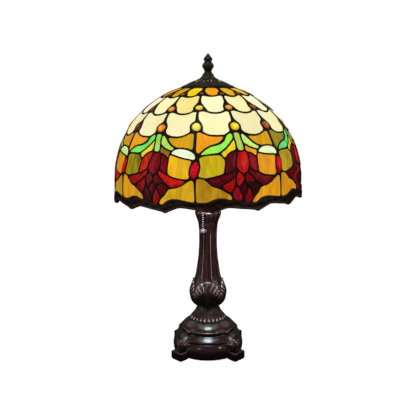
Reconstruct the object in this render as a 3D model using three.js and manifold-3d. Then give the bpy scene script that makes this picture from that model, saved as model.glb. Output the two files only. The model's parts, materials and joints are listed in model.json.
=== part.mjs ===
// Stained glass table lamp, millimetres, +Z up.
// Origin: centre of the base on the surface that the lamp stands on. The pull
// chain hangs in front of the column, towards -Y.
import * as THREE from "three";
import { mergeVertices } from "three/addons/utils/BufferGeometryUtils.js";
import Module from "manifold-3d";

const wasm = await Module();
wasm.setup();

// ---------------------------------------------------------------- dimensions
const HEIGHT = 482.6;            // floor to finial tip
const REPEATS = 7;               // tulip panels round the shade
const SCALLOPS = 14;             // scallops in each upper row and in the rim
const SEAM_ANGLE = -7.1;         // a panel seam, degrees from -Y towards +X
const GLASS_T = 3.0;             // sheet glass
const GAP = 0.3;                 // clearance between neighbouring pieces

// outer surface of the shade from the cap down: [z, r]
const SHADE = [[431, 41], [427.5, 52], [424, 63.2], [418, 74.5], [412, 83.5], [406, 92],
  [400, 100], [394, 106.3], [388, 112], [382, 117.3], [376, 121.8], [370, 125.3],
  [364, 128.5], [358, 131.2], [352, 133.8], [346, 136.3], [340, 138.4], [334, 140.4],
  [328, 142.1], [322, 143.7], [316, 145], [310, 145.8], [304, 146.4], [298, 146.8],
  [292, 147.1], [286, 147.3], [280, 147.5], [274, 147.6], [268, 147.6], [262, 147.5],
  [256, 147.3], [250, 147], [240, 146.4], [225, 145.4]];
// the rows of the shade, as distances along that surface from the cap
const CROWN = [0.6, 35.2];
const CREAM_UPPER = [38.3, 73.2];
const CREAM_LOWER = [76.3, 110.2];
const TULIPS = [113.3, 203.7];
const RIM_TOP = 204.0;
const JEWEL_S = 161;             // centre of the red seam jewels
const JEWEL_HALF = [5.6, 11.8, 4.2];

// finial and cap profiles: [r, z]
const FINIAL = [[0, 482.6], [2.1, 479], [5.2, 475], [6.7, 473], [5.9, 469], [8.2, 465],
  [8.9, 462.5], [8.0, 459], [6.0, 455], [6.6, 452.6], [8.4, 450.3]];
const CAP = [[9.0, 450], [10.6, 447], [17.6, 443], [26.8, 439], [35.5, 435], [41, 431.2], [41, 430.4]];
const CAP_HOLE_R = 3.7;
const STUD_R = 3.1;              // 1/4-27 finial thread

// column, bottom to top: [r, z]
const SKIRT = [[29.1, 55.2], [28.6, 57.0], [22.5, 65], [18.6, 73], [17.8, 77]];
const BULB = [[18.0, 77.3], [23, 81], [28.6, 87], [30.2, 94], [30.6, 100], [30.1, 105],
  [27.7, 111], [25.5, 117], [23.3, 123], [21.1, 126]];
const SHAFT = [[21.0, 126.3], [19.4, 132], [16.8, 150], [14.9, 168], [14.0, 186], [14.2, 200],
  [15.3, 213]];
const CAPITAL = [[15.4, 213.3], [15.9, 216.4], [18, 222], [20.5, 228], [21, 234], [19.4, 238]];
const TUBE_R = 5.15;             // 1/8-IP threaded tube
const TUBE_BORE = 5.6;

// base casting: [r, z], drum, shoulder band, cove and dome
const BASE = [[56.2, 2.0], [58, 12], [55.9, 21.5], [51.3, 27.6], [49.4, 34.8], [45.6, 37.4],
  [44.6, 41.4], [40.6, 46.6], [33.4, 51.4], [29.0, 54.9]];
const FOOT_R = 73, FOOT_W = 22.9, FOOT_TOP = 13.8, FOOT_BOTTOM = 1.5;
const LEAF_W = 28;
const LEAF = [[42, 13.2], [61.5, 13.2], [64.5, 17], [66.8, 22], [66.6, 26], [64.4, 30.4], [60.4, 34],
  [55, 36.8], [50.5, 38.6], [48.2, 41.6], [44.8, 42.8], [42, 41]];

// lamp-holder, harp and chain
const ARM_ANGLE = -106.5;        // direction of the chain arm, degrees from +X
const CHAIN_R = 1.6, CHAIN_AT = 28.2, CHAIN_TOP = 266, CHAIN_BOTTOM = 213;
const KNOB = [[0, 199.6], [2.6, 199.9], [4.9, 201.4], [6.1, 204], [6.25, 206.6], [5.9, 209],
  [4.6, 211.2], [2.6, 212.4], [0, 212.6]];
const HARP_R = 1.6, HARP_FOOT_X = 30.4;

// ------------------------------------------------------------------- helpers
const rad = (d) => (d * Math.PI) / 180;

function toSolid(geometry) {
  const g0 = geometry.index ? geometry.clone() : geometry.clone();
  for (const k of Object.keys(g0.attributes)) if (k !== "position") g0.deleteAttribute(k);
  const g = mergeVertices(g0, 1e-3);
  const p = g.attributes.position.array, idx = g.index.array, tri = [];
  let vol = 0;
  for (let i = 0; i < idx.length; i += 3) {
    const [a, b, c] = [idx[i], idx[i + 1], idx[i + 2]];
    if (a === b || b === c || a === c) continue;
    tri.push(a, b, c);
    const A = a * 3, B = b * 3, C = c * 3;
    vol += p[A] * (p[B + 1] * p[C + 2] - p[B + 2] * p[C + 1])
      - p[A + 1] * (p[B] * p[C + 2] - p[B + 2] * p[C])
      + p[A + 2] * (p[B] * p[C + 1] - p[B + 1] * p[C]);
  }
  if (vol < 0) for (let i = 0; i < tri.length; i += 3) [tri[i], tri[i + 1]] = [tri[i + 1], tri[i]];
  return new wasm.Manifold(new wasm.Mesh({
    numProp: 3, vertProperties: new Float32Array(p), triVerts: new Uint32Array(tri),
  }));
}

// a closed profile of [r, z] points turned about Z
function turned(profile, segments = 32, turn = 0) {
  const pts = profile.map(([r, z]) => new THREE.Vector2(r, z));
  const [a, b] = [profile[0], profile[profile.length - 1]];
  if (!(a[0] === 0 && b[0] === 0)) pts.push(pts[0].clone());
  const g = new THREE.LatheGeometry(pts, segments);
  g.rotateX(Math.PI / 2);
  g.rotateZ(rad(turn));
  return toSolid(g);
}
const tubeOf = (outer, inner, segments = 32, turn = 0) => turned([...outer, ...inner], segments, turn);
const ring = (r0, r1, z0, z1, seg = 32) => turned([[r0, z0], [r1, z0], [r1, z1], [r0, z1]], seg);
const disc = (r, z0, z1, seg = 32) => turned([[0, z0], [r, z0], [r, z1], [0, z1]], seg);

function box(x0, x1, y0, y1, z0, z1) {
  const g = new THREE.BoxGeometry(x1 - x0, y1 - y0, z1 - z0);
  g.translate((x0 + x1) / 2, (y0 + y1) / 2, (z0 + z1) / 2);
  return toSolid(g);
}
// a cylinder from one point to another
function rod(a, b, r, seg = 16) {
  const A = new THREE.Vector3(...a), B = new THREE.Vector3(...b);
  const g = new THREE.CylinderGeometry(r, r, A.distanceTo(B), seg);
  g.applyQuaternion(new THREE.Quaternion().setFromUnitVectors(
    new THREE.Vector3(0, 1, 0), B.clone().sub(A).normalize()));
  g.translate((A.x + B.x) / 2, (A.y + B.y) / 2, (A.z + B.z) / 2);
  return toSolid(g);
}
// a profile in the (radius, z) plane with a width across it, turned to an angle
function fin(profile, width, angle) {
  const shape = new THREE.Shape(profile.map(([r, z]) => new THREE.Vector2(r, z)));
  const g = new THREE.ExtrudeGeometry(shape, { depth: width, bevelEnabled: false });
  g.translate(0, 0, -width / 2);
  g.rotateX(Math.PI / 2);
  g.rotateZ(rad(angle));
  return toSolid(g);
}
function geometryOf(solid) {
  const m = solid.getMesh(), g = new THREE.BufferGeometry();
  g.setAttribute("position", new THREE.BufferAttribute(new Float32Array(m.vertProperties), 3));
  g.setIndex(new THREE.BufferAttribute(new Uint32Array(m.triVerts), 1));
  g.computeVertexNormals();
  return g;
}

// the shade's surface at distance s from the cap, moved out by d: [r, z]
const ARC = [0];
for (let i = 1; i < SHADE.length; i++)
  ARC.push(ARC[i - 1] + Math.hypot(SHADE[i][0] - SHADE[i - 1][0], SHADE[i][1] - SHADE[i - 1][1]));
function along(s) {
  let i = 1;
  while (i < ARC.length - 1 && ARC[i] < s) i++;
  const t = (s - ARC[i - 1]) / (ARC[i] - ARC[i - 1]);
  return [SHADE[i - 1][1] + (SHADE[i][1] - SHADE[i - 1][1]) * t,
    SHADE[i - 1][0] + (SHADE[i][0] - SHADE[i - 1][0]) * t];
}
function onShade(s, d = 0) {
  const [r0, z0] = along(Math.max(0, s - 3)), [r1, z1] = along(s + 3), [r, z] = along(s);
  const l = Math.hypot(r1 - r0, z1 - z0);
  return [r - ((z1 - z0) / l) * d, z + ((r1 - r0) / l) * d];
}
// a band of the shade between two distances, d0 inside to d1 outside
function band(s0, s1, steps, d0, d1, segments) {
  const out = [], inn = [];
  for (let i = 0; i <= steps; i++) {
    const s = s0 + ((s1 - s0) * i) / steps;
    out.push(onShade(s, d1));
    inn.unshift(onShade(s, d0));
  }
  return tubeOf(out, inn, segments, SEAM_ANGLE - 90);
}
// a tall wedge that keeps one sector, angles in degrees from -Y towards +X
function wedge(a0, a1, z0, z1) {
  const R = 400, mid = (a0 + a1) / 2, shape = new THREE.Shape();
  const at = (a, r) => [r * Math.sin(rad(a)), -r * Math.cos(rad(a))];
  shape.moveTo(...at(mid, 0));
  shape.lineTo(...at(a0, R));
  shape.lineTo(...at(mid, R * 1.3));
  shape.lineTo(...at(a1, R));
  const g = new THREE.ExtrudeGeometry(shape, { depth: z1 - z0, bevelEnabled: false });
  g.translate(0, 0, z0);
  return toSolid(g);
}

// ----------------------------------------------------------------- materials
const M = (color, roughness, metalness, extra = {}) =>
  new THREE.MeshStandardMaterial({ color, roughness, metalness, ...extra });
const bronze = M(0x2e1d1a, 0.42, 0.55);
const lead = M(0x1c1511, 0.5, 0.6);
const brass = M(0xb08a45, 0.35, 1);
const steel = M(0x9a9a9a, 0.4, 1);
const iron = M(0x3c3c3c, 0.8, 0.6);
const felt = M(0x1d2a20, 0.95, 0);
const plastic = M(0x121212, 0.5, 0);
const fibre = M(0x8a6a44, 0.9, 0);
const amber = M(0xe2a01f, 0.25, 0, { emissive: 0x553300 });
const cream = M(0xf5ecc8, 0.3, 0, { emissive: 0x555040 });
const tulip = M(0xa01a1c, 0.25, 0, { emissive: 0x330505 });
const ruby = M(0xb81228, 0.1, 0, { emissive: 0x330308 });
const clear = M(0xf4f2ea, 0.1, 0, { transparent: true, opacity: 0.7 });

const lamp = new THREE.Group();
lamp.name = "stained_glass_table_lamp";
const baseGroup = new THREE.Group(), columnGroup = new THREE.Group();
const holderGroup = new THREE.Group(), shadeGroup = new THREE.Group();
lamp.add(baseGroup, columnGroup, holderGroup, shadeGroup);
function add(group, name, solid, material) {
  const mesh = new THREE.Mesh(geometryOf(solid), material);
  mesh.name = name;
  group.add(mesh);
}

// ---------------------------------------------------------------------- base
{
  let casting = turned([[0, BASE[0][1]], ...BASE, [0, 54.9]], 28);
  for (const a of [45, 135, 225, 315]) {
    casting = casting
      .add(fin([[30, FOOT_BOTTOM], [FOOT_R, FOOT_BOTTOM], [FOOT_R, FOOT_TOP], [30, FOOT_TOP]], FOOT_W, a))
      .add(fin(LEAF, LEAF_W, a));
  }
  casting = casting
    .subtract(turned([[0, -1], [52, -1], [53.6, 12], [50.6, 21.5], [45, 32], [40.5, 39], [28, 49.4], [0, 50.6]], 20))
    .subtract(disc(TUBE_BORE, 45, 60, 20))
    .subtract(rod([0, 45, 14], [0, 70, 14], 5.4, 16));
  add(baseGroup, "base_casting", casting, bronze);

  add(baseGroup, "base_ballast", ring(13, 40, 8, 30, 20), iron);
  add(baseGroup, "base_bottom_plate", ring(9, 50.5, 3.2, 4.8, 20), steel);
  const names = ["back_right", "back_left", "front_left", "front_right"];
  [45, 135, 225, 315].forEach((a, i) => add(baseGroup, `foot_pad_${names[i]}`,
    fin([[55.5, 0], [71.5, 0], [71.5, 1.2], [55.5, 1.2]], FOOT_W - 3, a), felt));
  add(baseGroup, "tube_washer", ring(TUBE_BORE, 13.5, 47.4, 49.2, 16), steel);
  add(baseGroup, "tube_nut", turned([[0, 41.2], [8.1, 41.2], [8.1, 47.1], [0, 47.1]], 6)
    .subtract(disc(TUBE_R + GAP, 40, 48, 16)), brass);
  const bushing = rod([0, 49.6, 14], [0, 58.6, 14], 5.05, 16)
    .add(rod([0, 58.4, 14], [0, 60.6, 14], 7.2, 20))
    .subtract(rod([0, 48, 14], [0, 62, 14], 3.2, 12));
  add(baseGroup, "cord_bushing", bushing, plastic);
}

// -------------------------------------------------------------------- column
{
  add(columnGroup, "threaded_tube", ring(3.6, TUBE_R, 37.5, 247, 16), steel);
  add(columnGroup, "column_skirt", tubeOf(SKIRT,
    [[TUBE_BORE, 77], [TUBE_BORE, 74], [13, 72], [22, 55.2]], 20), bronze);
  add(columnGroup, "column_bulb", tubeOf(BULB,
    [[16.6, 126], [20, 119], [25.6, 105], [25.8, 93], [22, 85],
      [TUBE_BORE, 80.6], [TUBE_BORE, 77.3]], 20), bronze);
  add(columnGroup, "column_shaft", tubeOf(SHAFT,
    [[10.6, 213], [9.8, 190], [12.2, 153], [16.6, 126.3]], 20), bronze);
  add(columnGroup, "column_capital", tubeOf(CAPITAL,
    [[TUBE_BORE, 238], [TUBE_BORE, 234.6], [15.5, 233.6], [11, 217], [11, 213.3]], 20), bronze);
}

// ------------------------------------------- lamp-holder, harp, chain and bulb
const armDir = [Math.cos(rad(ARM_ANGLE)), Math.sin(rad(ARM_ANGLE))];
const polar = (r, z) => [armDir[0] * r, armDir[1] * r, z];
{
  let saddle = box(-28.4, 28.4, -6, 6, 238.3, 240.0);
  for (const s of [-1, 1]) saddle = saddle.add(
    box(Math.min(s * 27, s * 28.4), Math.max(s * 27, s * 28.4), -1.3, 1.3, 239.5, 262));
  saddle = saddle.subtract(disc(TUBE_R + GAP, 236, 242, 16));
  add(holderGroup, "harp_saddle", saddle, brass);

  const side = [[30.4, 242], [30.4, 258], [30.4, 276], [34, 288], [43, 306], [53, 330],
    [56.6, 352], [54.6, 376], [46.5, 402], [33, 424], [20, 436], [9, 440.4]];
  const pts = [...side.map(([x, z]) => new THREE.Vector3(-x, 0, z)), new THREE.Vector3(0, 0, 441.0),
    ...side.slice().reverse().map(([x, z]) => new THREE.Vector3(x, 0, z))];
  const section = new THREE.Shape();
  for (let i = 0; i < 6; i++) {
    const a = (i / 6) * 2 * Math.PI;
    section[i ? "lineTo" : "moveTo"](HARP_R * Math.cos(a), HARP_R * Math.sin(a));
  }
  const loop = new THREE.ExtrudeGeometry(section, {
    steps: 38, bevelEnabled: false, extrudePath: new THREE.CatmullRomCurve3(pts, false, "centripetal"),
  });
  add(holderGroup, "harp_loop", toSolid(loop), brass);
  for (const [n, s] of [["left", -1], ["right", 1]]) {
    const g = new THREE.LatheGeometry([[3.5, 243], [4.6, 243], [5.0, 244.5], [4.6, 246], [4.6, 256],
      [4.0, 258], [3.5, 258], [3.5, 243]].map(([r, z]) => new THREE.Vector2(r, z)), 12);
    g.rotateX(Math.PI / 2);
    g.translate(s * 29.4, 0, 0);
    add(holderGroup, `harp_sleeve_${n}`, toSolid(g), brass);
  }
  add(holderGroup, "harp_stud", turned([[0, 443.0], [8.6, 443.0], [9.0, 443.6], [9.0, 445.0],
    [STUD_R, 445.3], [STUD_R, 456.6], [2.4, 457.4], [0, 457.4]], 14), brass);

  add(holderGroup, "socket_cap", tubeOf(
    [[7.4, 240.5], [7.4, 243.4], [15.2, 249.4], [17.9, 254], [17.9, 262]],
    [[17.1, 262], [17.1, 254.4], [14.4, 250.8], [6.4, 244.9], [TUBE_R + GAP, 244.9], [TUBE_R + GAP, 240.5]], 20), brass);
  add(holderGroup, "socket_shell", ring(15.9, 16.6, 257, 303, 20)
    .subtract(rod(polar(12, 268), polar(20, 268), 3.4, 12)), brass);
  add(holderGroup, "switch_body", turned([[0, 260.5], [13.6, 260.5], [15.0, 262], [15.0, 281], [0, 281]], 16), plastic);
  add(holderGroup, "centre_contact", turned([[0, 281.3], [4.2, 281.3], [4.2, 282.3], [0, 282.9]], 16), brass);
  add(holderGroup, "socket_liner", ring(14.9, 15.55, 282, 302, 20), fibre);
  add(holderGroup, "screw_shell", ring(13.7, 14.5, 283, 303.4, 20), brass);
  const arm = rod(polar(15.5, 268), polar(27, 268), 2.8, 14)
    .add(rod(polar(CHAIN_AT, 256.5), polar(CHAIN_AT, 271), 3.5, 16))
    .subtract(rod(polar(CHAIN_AT, 250), polar(CHAIN_AT, 267.2), 2.3, 16));
  add(holderGroup, "pull_arm", arm, brass);
  add(holderGroup, "pull_chain", rod(polar(CHAIN_AT, CHAIN_BOTTOM), polar(CHAIN_AT, CHAIN_TOP), CHAIN_R, 10), brass);
  const knob = new THREE.LatheGeometry(KNOB.map(([r, z]) => new THREE.Vector2(r, z)), 14);
  knob.rotateX(Math.PI / 2);
  knob.translate(armDir[0] * CHAIN_AT, armDir[1] * CHAIN_AT, 0);
  add(holderGroup, "pull_knob", toSolid(knob), bronze);

  add(holderGroup, "bulb_base", tubeOf(
    [[0, 284], [4.4, 284], [5.6, 285.4], [10.5, 287.4], [13.1, 288.4], [13.1, 309]],
    [[12.4, 309], [12.4, 289.2], [0, 289.2]], 18), steel);
  add(holderGroup, "bulb_glass", tubeOf(
    [[13.4, 309.3], [17, 325], [26.0, 344], [30, 361], [27.6, 375.5], [18, 388], [0, 392]],
    [[0, 391], [17.2, 387.2], [26.6, 375], [29, 361], [25.1, 344.4], [16.1, 325.4], [12.4, 309.3]], 18), clear);
}

// --------------------------------------------------------------------- shade
{
  add(shadeGroup, "vase_cap", tubeOf(CAP,
    [[39.4, 430.4], [28.5, 435.4], [20, 439], [9.4, 445.8], [CAP_HOLE_R, 445.8], [CAP_HOLE_R, 450]], 24), bronze);
  add(shadeGroup, "shade_fitter_ring", ring(31, 39.6, 428.4, 430.0, 24), brass);
  const N = 28;
  add(shadeGroup, "glass_crown_band", band(...CROWN, 2, -GLASS_T, 0, N), amber);
  add(shadeGroup, "lead_ring_crown", band(CROWN[1] + GAP, CREAM_UPPER[0] - GAP, 1, -3.4, 0.8, N), lead);
  add(shadeGroup, "glass_cream_upper", band(...CREAM_UPPER, 2, -GLASS_T, 0, N), cream);
  add(shadeGroup, "lead_ring_upper", band(CREAM_UPPER[1] + GAP, CREAM_LOWER[0] - GAP, 1, -3.4, 0.8, N), lead);
  add(shadeGroup, "glass_cream_lower", band(...CREAM_LOWER, 2, -GLASS_T, 0, N), cream);
  add(shadeGroup, "lead_ring_lower", band(CREAM_LOWER[1] + GAP, TULIPS[0] - GAP, 1, -3.4, 0.8, N), lead);

  // seven tulip panels, with a red glass jewel let into each seam
  const whole = band(...TULIPS, 4, -GLASS_T, 0, N);
  const step = 360 / REPEATS, [jr, jz] = onShade(JEWEL_S, -0.6);
  const jewelAt = (k, grow) => {
    const g = new THREE.SphereGeometry(1, 10, 6);
    g.rotateX(Math.PI / 2);
    g.scale(JEWEL_HALF[0] + grow, JEWEL_HALF[2] + grow, JEWEL_HALF[1] + grow);
    g.translate(0, -jr, jz);
    g.rotateZ(rad(SEAM_ANGLE + k * step));
    return toSolid(g);
  };
  for (let k = 0; k < REPEATS; k++) {
    const a0 = SEAM_ANGLE + k * step;
    const panel = whole.intersect(wedge(a0 + 0.08, a0 + step - 0.08, 200, 390))
      .subtract(jewelAt(k, GAP + 0.1)).subtract(jewelAt(k + 1, GAP + 0.1));
    add(shadeGroup, `tulip_panel_${k + 1}`, panel, k % 2 ? amber : tulip);
    add(shadeGroup, `seam_jewel_${k + 1}`, jewelAt(k, 0), ruby);
  }

  // the cast rim: a plain band with a scalloped lower edge
  const dips = [[0, 223.5], [4, 219.5], [7.5, 216], [9, 215.5], [12, 216.3], [16, 218], [20, 219.5],
    [23, 220.8], [24.5, 221.8], [25.72, 223.5]];
  const lower = (a) => {
    const period = 360 / SCALLOPS, x = (((a - 1.6) % period) + period) % period;
    let i = 1;
    while (i < dips.length - 1 && dips[i][0] < x) i++;
    const t = (x - dips[i - 1][0]) / (dips[i][0] - dips[i - 1][0]);
    return dips[i - 1][1] + (dips[i][1] - dips[i - 1][1]) * t;
  };
  const steps = 2, prof = [];
  for (let i = 0; i <= steps; i++) prof.push([i / steps, 1.2]);
  for (let i = steps; i >= 0; i--) prof.push([i / steps, -3.4]);
  prof.push([0, 1.2]);
  const seg = 56;
  const g = new THREE.LatheGeometry(prof.map(([t, d]) => new THREE.Vector2(10 + d, -t)), seg);
  const pos = g.attributes.position;
  for (let i = 0; i < pos.count; i++) {
    const col = Math.floor(i / prof.length) % seg, [t, d] = prof[i % prof.length];
    const a = (col / seg) * 360;
    const s = RIM_TOP + (lower(a) - RIM_TOP) * t, [r, z] = onShade(s, d);
    pos.setXYZ(i, r * Math.sin(rad(a)), -r * Math.cos(rad(a)), z);
  }
  add(shadeGroup, "rim_band", toSolid(g), bronze);

  add(shadeGroup, "finial", tubeOf([...FINIAL].reverse(),
    [[0, 459.2], [5.0, 459.2], [5.0, 450.3]], 14), bronze);
  add(shadeGroup, "finial_insert", tubeOf([[STUD_R + 0.35, 450.6], [4.6, 450.6]],
    [[4.6, 458.4], [STUD_R + 0.35, 458.4]], 16), brass);
}

export default lamp;
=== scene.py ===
import json
import math

import bmesh
import bpy
import numpy as np
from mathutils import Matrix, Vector
from mathutils.geometry import delaunay_2d_cdt

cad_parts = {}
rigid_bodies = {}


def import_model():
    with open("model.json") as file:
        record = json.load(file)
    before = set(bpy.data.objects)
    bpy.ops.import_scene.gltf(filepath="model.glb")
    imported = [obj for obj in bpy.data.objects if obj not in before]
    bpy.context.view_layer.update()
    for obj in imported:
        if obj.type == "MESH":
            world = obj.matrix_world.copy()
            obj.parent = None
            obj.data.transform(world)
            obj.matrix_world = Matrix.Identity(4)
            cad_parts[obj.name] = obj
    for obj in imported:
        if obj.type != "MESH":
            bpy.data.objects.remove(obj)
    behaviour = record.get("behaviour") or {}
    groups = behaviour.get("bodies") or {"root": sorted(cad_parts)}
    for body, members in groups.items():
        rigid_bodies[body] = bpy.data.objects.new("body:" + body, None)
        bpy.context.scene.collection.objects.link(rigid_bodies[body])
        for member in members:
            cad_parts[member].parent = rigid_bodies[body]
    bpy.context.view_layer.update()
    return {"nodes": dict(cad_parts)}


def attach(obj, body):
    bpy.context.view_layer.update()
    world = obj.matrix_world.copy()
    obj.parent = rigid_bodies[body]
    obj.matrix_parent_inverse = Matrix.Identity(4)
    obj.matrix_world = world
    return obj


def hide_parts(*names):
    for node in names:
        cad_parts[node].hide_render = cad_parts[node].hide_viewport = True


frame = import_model()
NODES = frame["nodes"]
rng = np.random.default_rng(20)
PI = math.pi

# ------------------------------------------------------------------- camera
cam_data = bpy.data.cameras.new("camera")
cam = bpy.data.objects.new("camera", cam_data)
bpy.context.scene.collection.objects.link(cam)
bpy.context.scene.camera = cam
cam.location = (0.0, -0.9762, 0.42065)
cam.rotation_euler = (PI / 2 - 0.1836, 0.0, 0.0)
cam_data.lens = 53.165
cam_data.sensor_width = 36.0
cam_data.clip_start = 0.01


# ------------------------------------------------------------------ helpers
def lin(c):
    """sRGB 0-255 to linear"""
    out = []
    for v in c[:3]:
        v = v / 255.0
        out.append(v / 12.92 if v <= 0.04045 else ((v + 0.055) / 1.055) ** 2.4)
    return tuple(out)


def make_mesh(name, verts, faces, mats, body, face_mat=None, attrs=None, sharp=None,
              replaces=(), recalc=True):
    """verts in millimetres"""
    me = bpy.data.meshes.new(name)
    v = np.asarray(verts, float) / 1000.0
    me.from_pydata(v.tolist(), [], [list(map(int, f)) for f in faces])
    me.validate(clean_customdata=False)
    for m in mats:
        me.materials.append(m)
    if face_mat is not None and len(face_mat) == len(me.polygons):
        me.polygons.foreach_set("material_index", np.asarray(face_mat, np.int32))
    if attrs:
        for key, (kind, arr) in attrs.items():
            a = me.attributes.new(key, kind, "POINT")
            arr = np.asarray(arr, np.float32)
            if kind == "FLOAT":
                a.data.foreach_set("value", arr.ravel())
            elif kind == "FLOAT_COLOR":
                a.data.foreach_set("color", arr.ravel())
            else:
                a.data.foreach_set("vector", arr.ravel())
    if recalc:
        bm = bmesh.new()
        bm.from_mesh(me)
        bmesh.ops.recalc_face_normals(bm, faces=bm.faces)
        bm.to_mesh(me)
        bm.free()
    me.polygons.foreach_set("use_smooth", np.ones(len(me.polygons), bool))
    if sharp is not None:
        me.set_sharp_from_angle(angle=math.radians(sharp))
    me.update()
    ob = bpy.data.objects.new(name, me)
    bpy.context.scene.collection.objects.link(ob)
    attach(ob, body)
    if replaces:
        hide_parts(*replaces)
    return ob


def smooth01(x):
    x = np.clip(x, 0.0, 1.0)
    return x * x * (3 - 2 * x)


def resample(points, step):
    """a polyline of [r, z] points as a smooth, evenly spaced one"""
    p = np.asarray(points, float)
    t = np.r_[0, np.cumsum(np.hypot(*np.diff(p, axis=0).T))]
    n = max(2, int(round(t[-1] / step)) + 1)
    f = np.linspace(0, t[-1], max(4 * n, 40))
    q = np.stack([np.interp(f, t, p[:, 0]), np.interp(f, t, p[:, 1])], 1)
    k = 9
    for _ in range(2):
        pad = np.r_[np.repeat(q[:1], k // 2, 0), q, np.repeat(q[-1:], k // 2, 0)]
        w = np.hanning(k + 2)[1:-1]
        w /= w.sum()
        s = np.stack([np.convolve(pad[:, i], w, "valid") for i in (0, 1)], 1)
        s[0], s[-1] = q[0], q[-1]
        q = s
    g = np.linspace(0, len(q) - 1, n)
    return np.stack([np.interp(g, range(len(q)), q[:, i]) for i in (0, 1)], 1)


def revolve(outer, inner, n, disp=None, wear_and_highlight=None):
    """A closed turned body: outer profile from bottom to top, inner from top to bottom,
    both lists of [r, z]. disp(theta, r, z) gives a radial and a vertical shift of the outer
    surface, theta in degrees from the front (-Y) towards +X."""
    outer, inner = np.asarray(outer, float), np.asarray(inner, float).reshape(-1, 2)
    prof = np.vstack([outer, inner]) if len(inner) else outer
    m, mo = len(prof), len(outer)
    th = np.arange(n) * 360.0 / n
    T, I = np.meshgrid(th, np.arange(m), indexing="ij")
    R, Z = prof[I, 0].copy(), prof[I, 1].copy()
    W = np.zeros_like(R)
    if disp is not None:
        dr, dz, w = disp(T[:, :mo], R[:, :mo], Z[:, :mo])
        R[:, :mo] += dr
        Z[:, :mo] += dz
        W[:, :mo] = w
    a = np.radians(T)
    V = np.stack([R * np.sin(a), -R * np.cos(a), Z], -1)
    verts, idx = [], np.zeros((n, m), int)
    count = 0
    flat = V.reshape(-1, 3)
    idx = np.arange(n * m).reshape(n, m)
    axis_cols = [j for j in range(m) if prof[j, 0] == 0]
    faces = []
    closed = len(inner) > 0 and not (prof[0, 0] == 0 and prof[-1, 0] == 0)
    cols = list(range(m - 1)) + ([m - 1] if closed else [])
    for j in axis_cols:
        idx[:, j] = idx[0, j]
    for j in cols:
        j2 = (j + 1) % m
        A, B = idx[:, j], idx[:, j2]
        A2, B2 = np.roll(A, -1), np.roll(B, -1)
        for a0, a1, b1, b0 in zip(A, A2, B2, B):
            f = [a0]
            for x in (a1, b1, b0):
                if x not in f:
                    f.append(x)
            if len(f) > 2:
                faces.append(f)
    used = np.unique(np.concatenate([np.asarray(f) for f in faces]))
    back = -np.ones(len(flat), int)
    back[used] = np.arange(len(used))
    faces = [[back[i] for i in f] for f in faces]
    return flat[used], faces, W.reshape(-1)[used]


def rounded_box(center, half, bevel, rot=0.0, seg=3):
    """a box with rounded edges, turned about Z: verts, faces"""
    bm = bmesh.new()
    bmesh.ops.create_cube(bm, size=2.0)
    for v in bm.verts:
        v.co = Vector((v.co.x * half[0], v.co.y * half[1], v.co.z * half[2]))
    bmesh.ops.bevel(bm, geom=list(bm.edges), offset=bevel, segments=seg, profile=0.5,
                    affect="EDGES")
    c, s = math.cos(rot), math.sin(rot)
    vs = [(center[0] + v.co.x * c - v.co.y * s, center[1] + v.co.x * s + v.co.y * c,
           center[2] + v.co.z) for v in bm.verts]
    fs = [[v.index for v in f.verts] for f in bm.faces]
    bm.free()
    return vs, fs


def tube(path, r, n=12, closed=False):
    """a round tube along points, ends closed"""
    p = np.asarray(path, float)
    t = np.gradient(p, axis=0)
    t /= np.linalg.norm(t, axis=1)[:, None]
    up = np.array([0.0, 1.0, 0.0])
    if abs(t[0] @ up) > 0.9:
        up = np.array([1.0, 0.0, 0.0])
    V, F = [], []
    a = np.arange(n) * 2 * PI / n
    u = None
    for i in range(len(p)):
        u = (up if u is None else u) - t[i] * ((up if u is None else u) @ t[i])
        u /= np.linalg.norm(u)
        w = np.cross(t[i], u)
        rr = r[i] if np.ndim(r) else r
        V.append(p[i] + rr * (np.cos(a)[:, None] * u + np.sin(a)[:, None] * w))
    V = np.vstack(V)
    for i in range(len(p) - 1):
        for j in range(n):
            k = (j + 1) % n
            F.append([i * n + j, i * n + k, (i + 1) * n + k, (i + 1) * n + j])
    F.append(list(range(n))[::-1])
    F.append([(len(p) - 1) * n + j for j in range(n)])
    return V, F


def merge(parts):
    """several (verts, faces, ...) as one"""
    V, F, W, base = [], [], [], 0
    for p in parts:
        v, f = p[0], p[1]
        w = p[2] if len(p) > 2 else np.zeros(len(v))
        V.append(np.asarray(v, float))
        F += [[i + base for i in x] for x in f]
        W.append(np.asarray(w, float))
        base += len(v)
    return np.vstack(V), F, np.concatenate(W)


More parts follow.
